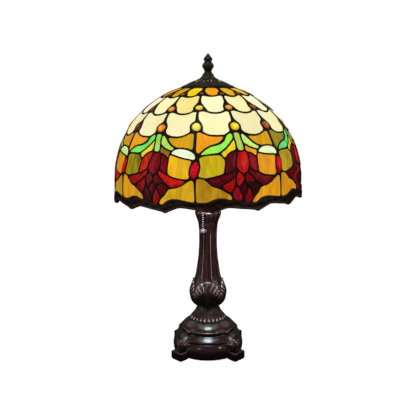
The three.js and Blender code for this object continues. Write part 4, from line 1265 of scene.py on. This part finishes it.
def leaf(angle):
    """one corner of the base: a leaf over a swelling, its tip rolled up against the dome"""
    poly = np.array([[44, 12.9], [52, 12.9], [60.2, 12.9], [62.6, 14.6], [64.9, 18.2], [66.4, 22], [66.5, 24.2], [65.6, 26.4],
                     [63.7, 28.1], [61, 29.5], [58, 30.6], [54.5, 31.8], [51, 33.6], [48.2, 36.0], [45.8, 38.6], [43, 38.8],
                     [42, 34], [42, 28], [42, 18]])
    n_u, n_v = 150, 61
    loop = even_loop(poly, 0.8, 2)
    t = np.linspace(0, len(loop), n_u, endpoint=False)
    loop = np.stack([np.interp(t, range(len(loop) + 1), np.r_[loop[:, i], loop[0, i]]) for i in (0, 1)], 1)
    core = np.array([45.0, 25.5])
    tan = np.roll(loop, -1, 0) - np.roll(loop, 1, 0)
    tan /= np.hypot(tan[:, 0], tan[:, 1])[:, None]
    nrm = np.stack([tan[:, 1], -tan[:, 0]], 1) * (1 if area(loop) > 0 else -1)
    start = int(np.argmin(np.hypot(loop[:, 0] - 61.0, loop[:, 1] - 13.2)))
    step = np.hypot(*(np.roll(loop, -1, 0) - loop).T)
    order = np.roll(np.arange(n_u), -start) if area(loop) > 0 else np.roll(np.arange(n_u)[::-1], start + 1)
    up = np.zeros(n_u)
    up[order] = np.r_[0, np.cumsum(step[order])[:-1]]
    face = smooth01((loop[:, 0] - 47.0) / 3.0) * smooth01((up - 0.2) / 1.5) * (up < 48)
    z = loop[:, 1]
    half = np.interp(z, [12.9, 16, 20, 26, 28.5, 30.5, 32.5, 35, 38, 40.5], [11.0, 11.8, 13.4, 14.2, 11.6, 8.4, 6.8, 5.8, 5.4, 5.2])
    a_dir = np.array([math.cos(angle), math.sin(angle)])
    b_dir = np.array([-math.sin(angle), math.cos(angle)])
    rows, wr = [], []
    for v in np.linspace(-1, 1, n_v):
        body = max(0.0, 1 - abs(v) ** 2.5) ** 0.42
        p = core + (loop - core) * max(body, 0.12)
        lat = v * half
        # veins climb outwards from the midrib; their ends lobe the leaf's edge
        ph = (up - 1.15 * np.abs(lat)) / 4.1
        crest = np.abs(np.cos(PI * ph)) ** 0.75
        amp = 0.9 * (1 - smooth01((up - 21.0) / 9.0)) * face * smooth01((1.02 - abs(v)) / 0.1)
        mid = 1.1 * np.exp(-(lat / 0.9) ** 2) * face * (1 - smooth01((up - 27.0) / 8.0))
        hem = 0.7 * np.exp(-((abs(v) - 0.86) / 0.05) ** 2) * face * (1 - smooth01((up - 27.0) / 7.0))
        q = p + nrm * (amp * (crest - 0.75) + mid + hem)[:, None]
        lat = lat * (1 + 0.03 * np.cos(2 * PI * ph) * face)
        rows.append(np.column_stack([q[:, :1] * a_dir + lat[:, None] * b_dir, q[:, 1]]))
        # vein crests, midrib and hem lighter: part rubbed relief, part painted highlight
        wr.append(np.clip(0.10 + 0.42 * amp * crest ** 4 + 0.35 * mid + 0.3 * hem, 0, 0.8))
    V = np.vstack(rows)
    W = np.concatenate(wr)
    F = []
    for j in range(n_v - 1):
        for i in range(n_u):
            i2 = (i + 1) % n_u
            F.append([j * n_u + i, j * n_u + i2, (j + 1) * n_u + i2, (j + 1) * n_u + i])
    for j, flip in ((0, True), (n_v - 1, False)):
        c = len(V)
        V = np.vstack([V, V[j * n_u:(j + 1) * n_u].mean(0)])
        W = np.r_[W, 0.2]
        for i in range(n_u):
            i2 = (i + 1) % n_u
            F.append([c, j * n_u + i, j * n_u + i2] if not flip else [c, j * n_u + i2, j * n_u + i])
    # the rolled tip
    tt = np.linspace(-1, 1, 25)
    base = np.array([45.4 * a_dir[0], 45.4 * a_dir[1], 40.0])
    path = [base + np.array([b_dir[0], b_dir[1], 0]) * (4.0 * x) + np.array([-a_dir[0], -a_dir[1], 0.15]) * (0.9 * x * x) for x in tt]
    rad = [2.9 * max(0.02, 1 - abs(x) ** 3.2) ** 0.42 * (1 - 0.10 * math.cos(x * 9.4)) for x in tt]
    v2, f2 = tube(path, rad, 28)
    curls = []
    for side in (-1, 1):
        c = np.array([*(55.6 * a_dir + side * 13.6 * b_dir), 25.2])
        p3 = [c + np.array([a_dir[0], a_dir[1], 0.5]) * (2.2 * x) for x in tt]
        v3, f3 = tube(p3, [2.0 * math.sqrt(max(1 - x * x, 1e-4)) for x in tt], 20)
        curls.append((v3, f3, np.full(len(v3), 0.5)))
    # the rolled tip and the side curls are evenly lighter: part wear, part painted highlight
    return merge([(V, F, W), (v2, f2, np.full(len(v2), 0.4)), *curls])


def column():
    # skirt
    prof = resample([[26.0, 55.2], [29.0, 55.2], [29.9, 56.0], [29.6, 57.4], [27.3, 60.2], [24.2, 63.6], [21.6, 67.2], [19.6, 71.2],
                     [18.3, 74.6], [17.7, 77.0]], 0.5)

    def d_skirt(T, R, Z):
        f = np.clip((Z - 55.2) / 22.0, 0, 1)
        c = reeds(T, 26, 3.0)
        amp = 1.5 * (1 - smooth01((Z - 66) / 11.0)) + 0.25
        edge = smooth01((Z - 55.2) / 0.8)
        h = amp * (c - 1.0) * edge
        # a painted sheen on the reed crests, strongest near the skirt's lower rim
        return h, 0.25 * h, np.clip(0.06 + (c ** 4) * (0.28 + 0.62 * np.exp(-((Z - 57.5) / 3.2) ** 2)), 0, 1)

    V, F, W = revolve(prof, [[5.6, 77], [5.6, 74], [13, 72], [22, 55.2]], 416, d_skirt)
    make_mesh("column_skirt_cast", V, F, [M_BRONZE], "root", attrs={"wear_and_highlight": ("FLOAT", W)}, sharp=55,
              replaces=("column_skirt",))

    # bulb with four scallop shells
    prof = resample([[17.4, 77.3], [19.8, 78.0], [23.2, 79.6], [25.0, 81.2], [27.1, 84.0], [28.5, 87.0], [29.2, 90.0], [29.7, 94.0],
                     [29.8, 99.0], [29.5, 102.0], [28.8, 105.5], [27.5, 109.5], [26.2, 113.0], [24.7, 117.0],
                     [23.4, 120.5], [22.3, 123.4], [21.4, 126.0]], 0.42)
    cc = np.linspace(0, 27, 136)
    zb = np.interp(cc, [0, 3.8, 5.5, 8.0, 11.0, 14.0, 18.0, 27.0], [124, 116.5, 109.3, 99.5, 94.0, 89.0, 84.0, 78.0])
    cuts = np.array([-3.8, 3.8, 6.0, 8.4, 11.2, 14.5, 18.5, 23.0, 27.0])

    def d_bulb(T, R, Z):
        t = ((T + 2.0 + 45.0) % 90.0) - 45.0
        x = np.abs(np.radians(t) * R)
        C = np.zeros_like(x)
        for j in range(x.shape[1]):
            zj = Z[0, j]
            X = cc + 0.85 * 2.0 * np.log1p(np.exp((zj - zb) / 2.0))
            C[:, j] = np.interp(x[:, j], X - X[0], cc)
        i = np.clip(np.searchsorted(cuts, C, side="right") - 1, 0, len(cuts) - 2)
        ph = (C - cuts[i]) / (cuts[i + 1] - cuts[i]) * 2 - 1
        crown = np.sqrt(np.clip(1 - (0.97 * ph) ** 2, 0, 1))
        top = np.interp(x, [0, 4.0, 6.5, 9.0, 11.8, 15.5, 18.0, 20.6, 22.5, 24.0, 30.0], [122.4, 122.2, 121.0, 119.8, 118.0, 114.7, 110.8, 105.3, 99.0, 92.0, 70.0])
        top = top - np.where(C < 3.8, 0.8, 1.8) * ph ** 2
        d = top - Z
        in_ = smooth01(d / 0.9)
        lip = np.exp(-((d - 1.5) / 0.85) ** 2)
        under = np.exp(-((d - 3.6) / 1.0) ** 2)
        fade = smooth01((Z - 79.0) / 24.0)
        deep = 0.5 + 1.4 * smooth01((Z - 90.0) / 14.0)
        h = in_ * fade * (0.45 + deep * (crown - 0.45))
        h = h + in_ * fade * np.where(C < 3.8, 0.95 * lip - 0.75 * under, 0.75 * lip * crown)
        # the shaft's flutes die out over the bulb's shoulder
        fl = smooth01((Z - 117.0) / 6.0) * (1 - in_)
        flute = -0.7 * (1 - ridge(T, 16, -6.0, 1.4)) * fl
        # a narrow bud in each valley between the shells
        vt = 45.0 - np.abs(t)
        vx = np.radians(vt) * R
        vy = Z - 106.0
        bud = 1.2 * np.exp(-(vx / 1.7) ** 2) * smooth01((vy + 10) / 5.0) * (1 - smooth01((vy - 10) / 5.0)) * (1 - in_)
        h = h + flute + bud * (0.65 + 0.35 * np.cos(vy * 1.7))
        # painted highlights: pale shell rib crests and shell lips, lighter buds, and light lines on the flute ridges,
        # brighter on every other one
        rib = crown ** 8 * smooth01((Z - 88.0) / 12.0) * smooth01((22.0 - d) / 10.0)
        wear_and_highlight = np.where(C < 3.8, 0.16 + 0.08 * crown, 0.06 + 0.72 * rib) * in_
        wear_and_highlight = wear_and_highlight + np.where(C < 3.8, 0.9, 0.95) * lip * in_ * crown + 0.35 * bud
        wear_and_highlight = np.clip(np.maximum(wear_and_highlight, 0.08) + 0.3 * ridge(T, 16, -6.0, 9) * fl * (0.4 + 0.6 * ridge(T, 8, -28.5, 4)), 0, 1)
        return h, 0.1 * h, wear_and_highlight

    V, F, W = revolve(prof, [[16.6, 126], [20, 119], [25.2, 105], [25.4, 93], [21.6, 85], [5.6, 80.6], [5.6, 77.3]], 640, d_bulb)
    make_mesh("column_bulb_cast", V, F, [M_BRONZE], "root", attrs={"wear_and_highlight": ("FLOAT", W)}, sharp=60,
              replaces=("column_bulb",))

    # fluted shaft
    prof = resample([[21.4, 126.3], [20.7, 129.0], [20.0, 132.0], [18.7, 140.5], [17.3, 150.0], [16.1, 159.0], [15.4, 168.0],
                     [14.8, 177.0], [14.6, 186.0], [14.6, 195.0], [14.9, 204.0], [15.4, 209.5], [15.8, 213.0]], 1.6)

    def d_shaft(T, R, Z):
        r = ridge(T, 16, -6.0, 1.6)
        top = 1 - smooth01((Z - 204.0) / 9.0) * 0.55
        h = -0.85 * (1 - r) * top
        # painted highlights: a thin light line on each ridge, brighter on every other ridge, fading towards the top
        line = ridge(T, 16, -6.0, 14) * (0.30 + 0.34 * ridge(T, 8, -28.5, 5))
        return h, 0 * Z, np.clip(0.1 + line * (1 - 0.5 * smooth01((Z - 195) / 12.0)), 0, 1)

    V, F, W = revolve(prof, [[10.6, 213], [9.8, 190], [12.2, 153], [16.4, 126.3]], 384, d_shaft)
    make_mesh("column_shaft_cast", V, F, [M_BRONZE], "root", attrs={"wear_and_highlight": ("FLOAT", W)}, sharp=55,
              replaces=("column_shaft",))

    # capital with a ring of narrow leaves
    prof = resample([[15.8, 213.3], [16.2, 215.6], [17.1, 219.0], [18.5, 222.4], [19.8, 225.6], [20.8, 228.6], [21.3, 231.6],
                     [21.3, 233.8], [20.6, 235.6], [19.6, 236.9], [18.6, 237.8], [17.4, 238.0]], 0.45)

    def d_cap(T, R, Z):
        r = ridge(T, 16, -6.0, 1.3)
        fine = ridge(T, 32, -6.0, 2.0)
        grow = smooth01((Z - 213.3) / 8.0)
        end = 234.4
        leafy = smooth01((end - Z) / 0.8)
        tip = np.exp(-((Z - end + 1.0) / 1.0) ** 2)
        h = (-0.7 * (1 - r) - 0.35 * (1 - fine) * grow + 0.35 * tip) * leafy
        h = h - 0.9 * (1 - leafy) * smooth01((Z - 225) / 4.0) * (1 - smooth01((Z - 235.5) / 1.0))
        h = h * smooth01((Z - 213.3) / 1.5)
        # ridge crests and leaf tips lighter: part wear, part painted highlight
        return h, 0 * Z, np.clip(0.1 + 0.26 * ridge(T, 16, -6.0, 12) * leafy + 0.22 * tip * r, 0, 1)

    V, F, W = revolve(prof, [[5.6, 238], [5.6, 234.6], [15.0, 233.6], [11, 217], [11, 213.3]], 432, d_cap)
    make_mesh("column_capital_cast", V, F, [M_BRONZE], "root", attrs={"wear_and_highlight": ("FLOAT", W)}, sharp=55,
              replaces=("column_capital",))


base_casting()
column()

# ------------------------------------------------------ harp and lamp-holder
ARM = np.array([math.cos(math.radians(-106.5)), math.sin(math.radians(-106.5))])


def chaikin(p, n=3):
    p = np.asarray(p, float)
    for _ in range(n):
        q = np.empty((2 * len(p) - 2, p.shape[1]))
        q[0::2] = 0.75 * p[:-1] + 0.25 * p[1:]
        q[1::2] = 0.25 * p[:-1] + 0.75 * p[1:]
        p = np.vstack([p[:1], q, p[-1:]])
    return p


def harp():
    side = [[30.4, 242], [30.4, 258], [30.4, 276], [34, 288], [43, 306], [53, 330], [56.6, 352],
            [54.6, 376], [46.5, 402], [33, 424], [20, 436], [9, 440.4]]
    p = [[-x, 0, z] for x, z in side] + [[0, 0, 441.0]] + [[x, 0, z] for x, z in side[::-1]]
    p = chaikin(p, 3)
    V, F = tube(p, 1.6, 16)
    make_mesh("harp_wire", V, F, [M_BRASS], "root", sharp=60, replaces=("harp_loop",))
    for n, s in (("left", -1), ("right", 1)):
        prof = resample([[3.55, 243.0], [4.5, 243.0], [4.95, 243.8], [5.0, 244.6], [4.7, 245.6], [4.5, 246.4], [4.5, 254.6],
                         [4.75, 255.2], [4.6, 256.2], [4.1, 257.5], [3.6, 258.0]], 0.35)
        V, F, _ = revolve(prof, [[3.5, 257.6], [3.5, 243.4]], 48)
        V = V + [s * 29.4, 0, 0]
        make_mesh(f"harp_ferrule_{n}", V, F, [M_BRASS], f"sleeve_{n}", sharp=45, replaces=(f"harp_sleeve_{n}",))
    # seat and threaded stud for the finial
    prof = [[0, 443.0], [8.4, 443.0], [9.0, 443.5], [9.0, 444.6], [8.6, 445.0], [3.4, 445.2], [2.9, 445.8]]
    z, k = 446.0, 0
    while z < 456.4:
        prof.append([3.1 if k % 2 == 0 else 2.72, z])
        z += 0.47
        k += 1
    prof += [[2.9, 456.6], [2.3, 457.4], [0, 457.4]]
    V, F, _ = revolve(np.array(prof), [], 48)
    make_mesh("harp_screw", V, F, [M_BRASS], "root", sharp=35, replaces=("harp_stud",))


harp()


def holder():
    prof = resample([[7.2, 240.5], [7.5, 241.0], [7.5, 243.2], [9.4, 244.8], [12.8, 247.4], [15.4, 249.6], [17.0, 251.8],
                     [17.9, 254.4], [17.9, 260.6], [18.15, 261.4], [17.8, 262.0], [17.2, 262.0]], 0.5)
    V, F, _ = revolve(prof, [[17.1, 261.4], [17.1, 254.4], [14.4, 250.8], [6.4, 244.9], [5.45, 244.9], [5.45, 240.5]], 96)
    make_mesh("socket_cap_spun", V, F, [M_BRASS], "root", sharp=40, replaces=("socket_cap",))
    z = [257.0, 262.2, 262.8, 264.0, 264.6, 277.0, 277.6, 278.4, 279.0, 292.0, 292.6, 293.4, 294.0, 301.6, 302.6, 303.0]
    r = [16.5, 16.5, 16.5, 16.5, 16.6, 16.6, 16.95, 16.95, 16.6, 16.6, 16.95, 16.95, 16.6, 16.6, 16.9, 16.7]
    V, F, _ = revolve(np.stack([r, z], 1), [[15.9, 303], [15.9, 257]], 96)
    make_mesh("socket_shell_spun", V, F, [M_BRASS], "root", sharp=35, replaces=("socket_shell",))
    # chain arm: a straight tube out of the shell into a small bell
    d = np.array([ARM[0], ARM[1], 0.0])
    up = np.array([0.0, 0.0, 1.0])
    p = [d * a + up * 268 for a in np.linspace(15.2, 27.4, 8)]
    rr = [3.6, 3.0, 2.7, 2.7, 2.7, 2.8, 3.0, 3.1]
    V1, F1 = tube(p, rr, 24)
    prof = resample([[2.35, 256.5], [3.6, 256.5], [4.0, 257.0], [3.7, 258.4], [3.3, 260.4], [3.3, 264.5], [3.5, 266.2],
                     [3.6, 268.6], [3.1, 270.2], [1.8, 271.0], [0.0, 271.2]], 0.4)
    V2, F2, _ = revolve(np.vstack([prof, [[0, 267.2], [2.3, 267.2]]]), [], 40)
    prof2 = np.vstack([prof])
    V2, F2, _ = revolve(prof2, [[0.0, 267.2], [2.3, 267.0], [2.3, 257.0]], 40)
    V2 = V2 + d * 28.2
    V, F, _ = merge([(V1, F1), (V2, F2)])
    make_mesh("chain_arm", V, F, [M_BRASS], "root", sharp=40, replaces=("pull_arm",))


holder()


def bulb():
    # screw cap: contact, glass insulator, rolled thread
    p = [[0, 284.0], [3.6, 284.0], [4.3, 284.5], [4.5, 285.2], [6.4, 286.0], [9.6, 287.2], [11.6, 287.9], [12.4, 288.8]]
    z = np.arange(289.4, 304.6, 0.3)
    p += [[12.75 + 0.42 * math.sin(2 * PI * (a - 289.4) / 3.63), a] for a in z]
    p += [[12.9, 305.2], [13.1, 306.0], [13.1, 308.4], [12.8, 309.0]]
    V, F, _ = revolve(np.array(p), [[12.3, 308.6], [12.3, 289.2], [0, 289.0]], 72)
    # the thread climbs one pitch per turn
    r = np.hypot(V[:, 0], V[:, 1])
    on = (V[:, 2] > 289.3) & (V[:, 2] < 304.7) & (r > 12.32)
    a = np.arctan2(V[:, 0], -V[:, 1])
    rr = 12.75 + 0.42 * np.sin(2 * PI * (V[:, 2] - 289.4) / 3.63 - a)
    fade = smooth01((V[:, 2] - 289.3) / 1.2) * smooth01((304.7 - V[:, 2]) / 1.2)
    rr = 12.75 + (rr - 12.75) * fade
    V[on, 0] *= (rr / r)[on]
    V[on, 1] *= (rr / r)[on]
    make_mesh("bulb_screw", V, F, [M_ALU], "bulb", sharp=40, replaces=("bulb_base",))
    prof = resample([[12.9, 309.3], [13.6, 310.2], [14.6, 315.0], [16.6, 323.0], [19.8, 332.0], [24.0, 341.0], [27.6, 348.0],
                     [29.4, 354.0], [30.0, 361.0], [29.3, 368.0], [27.0, 375.5], [23.0, 382.0], [17.6, 387.4],
                     [10.5, 390.8], [4.5, 391.9], [0, 392.0]], 1.2)
    V, F, _ = revolve(prof, [[0, 391.2], [10.2, 390.0], [17.0, 386.6], [22.3, 381.4], [26.2, 375.0], [28.5, 368.0], [29.2, 361.0],
                      [28.6, 354.2], [26.9, 348.4], [23.4, 341.4], [19.2, 332.4], [16.0, 323.2], [14.0, 315.2], [13.0, 310.4], [12.3, 309.3]], 72)
    make_mesh("bulb_envelope", V, F, [M_BULB], "bulb", sharp=60, replaces=("bulb_glass",))


bulb()


# --------------------------------------------------------- pull chain, knob
def chain():
    d = np.array([ARM[0] * 28.2, ARM[1] * 28.2, 0.0])
    # hollow balls on a wire, 16 to the stretch, drawn as one ball chain
    pts, rad = [], []
    nb, L = 15, 53.0
    pitch = L / nb
    for i in range(nb):
        c = 266.0 - (i + 0.5) * pitch
        for t in np.linspace(-1, 1, 9):
            zz = c - t * pitch / 2
            h = abs(t) * pitch / 2
            rb = 1.6
            ra = math.sqrt(max(rb * rb - h * h, 0.0)) if h < rb else 0.0
            rad.append(max(ra, 0.62))
            pts.append([d[0], d[1], zz])
    pts, rad = np.array(pts), np.array(rad)
    keep = np.r_[True, np.abs(np.diff(pts[:, 2])) > 1e-6]
    V, F = tube(pts[keep], rad[keep], 16)
    shine = np.repeat(np.clip((rad[keep] - 0.7) / 0.9, 0, 1), 16)
    ob = make_mesh("pull_chain_beads", V, F, [M_CHAIN], "chain", sharp=70, attrs={"wear_and_highlight": ("FLOAT", shine)},
                   replaces=("pull_chain",))
    prof = resample([[0, 199.6], [2.2, 199.8], [4.2, 200.8], [5.6, 202.6], [6.2, 204.8], [6.25, 206.8], [5.7, 208.6],
                     [4.3, 210.0], [2.9, 210.7], [2.4, 211.3], [2.5, 212.0], [1.9, 212.6], [0, 212.7]], 0.35)

    def dk(T, R, Z):
        low = smooth01((207.0 - Z) / 2.5) * smooth01((Z - 200.0) / 2.0)
        c = reeds(T, 12)
        h = 0.45 * (c - 1) * low
        g = -0.25 * np.exp(-((Z - 207.3) / 0.3) ** 2)
        # the knob grows lighter towards its top, a painted highlight
        return h + g, 0 * Z, np.clip(0.15 + 0.6 * smooth01((Z - 203.0) / 5.0) + 0.1 * c * low, 0, 1)

    V, F, W = revolve(prof, [], 96, dk)
    knob = make_mesh("pull_knob_turned", V + d, F, [M_KNOB], "chain", sharp=50, attrs={"wear_and_highlight": ("FLOAT", W)},
                     replaces=("pull_knob",))


# the last colour of each is a painted highlight on the knob's top and on the beads
M_KNOB = bronze_material("knob_bronze", lin((34, 27, 32)), lin((70, 60, 67)), lin((110, 102, 110)), 0.36)
M_CHAIN = bronze_material("bead_chain", lin((14, 10, 10)), lin((62, 54, 60)), lin((122, 112, 120)), 0.24, spec=0.6)
chain()

# ------------------------------------------- carried-over pieces: materials
KEEP = {"base_ballast": M_IRON, "base_bottom_plate": M_STEEL, "tube_washer": M_STEEL, "tube_nut": M_BRASS,
        "cord_bushing": M_PLASTIC, "threaded_tube": M_STEEL, "harp_saddle": M_BRASS, "switch_body": M_PLASTIC,
        "centre_contact": M_BRASS, "socket_liner": M_FIBRE, "screw_shell": M_BRASS, "shade_fitter_ring": M_BRASS,
        "finial_insert": M_BRASS, "foot_pad_back_right": M_FELT, "foot_pad_back_left": M_FELT,
        "foot_pad_front_left": M_FELT, "foot_pad_front_right": M_FELT}
for node, mat in KEEP.items():
    for sl in NODES[node].material_slots:
        sl.material = mat

# ------------------------------------------------------------------- stage
def world():
    w = bpy.data.worlds.new("studio")
    bpy.context.scene.world = w
    w.use_nodes = True
    nt = w.node_tree
    nt.nodes.clear()
    out = nt.nodes.new("ShaderNodeOutputWorld")
    mix = nt.nodes.new("ShaderNodeMixShader")
    a = nt.nodes.new("ShaderNodeBackground")
    b = nt.nodes.new("ShaderNodeBackground")
    lp = nt.nodes.new("ShaderNodeLightPath")
    a.inputs[0].default_value = (1, 1, 1, 1)
    a.inputs[1].default_value = 0.06
    b.inputs[0].default_value = (1, 1, 1, 1)
    b.inputs[1].default_value = 1.0
    nt.links.new(lp.outputs["Is Camera Ray"], mix.inputs[0])
    nt.links.new(a.outputs[0], mix.inputs[1])
    nt.links.new(b.outputs[0], mix.inputs[2])
    nt.links.new(mix.outputs[0], out.inputs[0])
    bpy.context.scene.view_settings.view_transform = "Standard"


world()


def area_light(name, loc, target, size, power, color=(1, 1, 1), size_y=None):
    d = bpy.data.lights.new(name, "AREA")
    d.energy = power
    d.color = color
    d.shape = "RECTANGLE"
    d.size = size
    d.size_y = size_y or size
    o = bpy.data.objects.new(name, d)
    bpy.context.scene.collection.objects.link(o)
    o.location = loc
    o.rotation_euler = (Vector(target) - Vector(loc)).to_track_quat("-Z", "Y").to_euler()
    return o


area_light("softbox_top", (-0.1, -0.55, 1.75), (0, 0, 0.1), 0.9, 6, (0.90, 0.95, 1.0), 0.7)
area_light("softbox_left", (-1.5, -0.5, 0.6), (0, 0, 0.2), 0.5, 3.0, (0.92, 0.96, 1.0), 1.2)
area_light("softbox_right", (1.5, -0.6, 0.8), (0, 0, 0.2), 0.4, 2.6, (1.0, 0.95, 0.92), 1.0)
area_light("spot_left", (-0.75, -1.3, 0.75), (0, 0, 0.1), 0.10, 1.2, (1.0, 0.86, 0.78), 0.10)
area_light("spot_right", (1.1, -1.2, 0.95), (0, 0, 0.1), 0.12, 1.6, (1.0, 0.95, 0.92), 0.12)
area_light("softbox_back_left", (-0.9, 0.7, 1.1), (0, 0, 0.1), 0.75, 1.2, (0.90, 0.95, 1.0))
area_light("softbox_back_right", (0.9, 0.7, 1.1), (0, 0, 0.1), 0.75, 1.2, (0.90, 0.95, 1.0))
# the lamp's own light, coming down out of the shade onto its foot
for _n, _at, _size, _w in (("under_shade", (0, 0, 0.30), 0.25, 0.20), ("under_bulb", (0, -0.08, 0.295), 0.09, 0.42)):
    glow = area_light(_n, _at, (_at[0], _at[1], 0.0), _size, _w, (0.82, 0.90, 1.0))
    glow.data.shape = "DISK"
    glow.rotation_euler = (0, 0, 0)
for _o in bpy.context.scene.collection.objects:
    if _o.type == "LIGHT":
        _o.visible_camera = False


def floor():
    t = Tree("paper_floor")
    c = t.coords()
    n = t.noise(c, 3.0, 2.0, 0.5)
    # a paper sweep, evenly lit behind the object without throwing light up at it
    lp = t.node("ShaderNodeLightPath")
    seen = lp.outputs["Is Camera Ray"]
    paper = t.mix(t.map(n, 0.3, 0.7, 0.0, 1.0), (0.5, 0.5, 0.5), (0.48, 0.48, 0.48))
    t.link(t.mix(seen, (0.03, 0.03, 0.03), paper), t.bsdf.inputs["Base Color"])
    t.val("Roughness", 0.9)
    t.val("Specular IOR Level", 0.0)
    t.link(t.mix(t.map(n, 0.3, 0.7, 0.0, 1.0), (1.0, 1.0, 1.0), (0.995, 0.995, 0.995)), t.bsdf.inputs["Emission Color"])
    # the floor's glow is a tenth weaker close to the lamp, a painted darkening round its foot
    ln = t.node("ShaderNodeVectorMath", operation="LENGTH")
    t.link(c, ln.inputs[0])
    t.link(t.math("MULTIPLY", seen, t.map(ln.outputs["Value"], 0.12, 0.5, 0.9, 1.0)), t.bsdf.inputs["Emission Strength"])
    me = bpy.data.meshes.new("floor")
    n, ext = 24, 4.0
    vs = [(-ext + 2 * ext * i / n, -2.0 + (ext + 2.0) * j / n, -0.0004 + 0.0 * i) for j in range(n + 1) for i in range(n + 1)]
    fs = [[j * (n + 1) + i, j * (n + 1) + i + 1, (j + 1) * (n + 1) + i + 1, (j + 1) * (n + 1) + i]
          for j in range(n) for i in range(n)]
    me.from_pydata(vs, [], fs)
    me.materials.append(t.mat)
    ob = bpy.data.objects.new("floor", me)
    bpy.context.scene.collection.objects.link(ob)


floor()
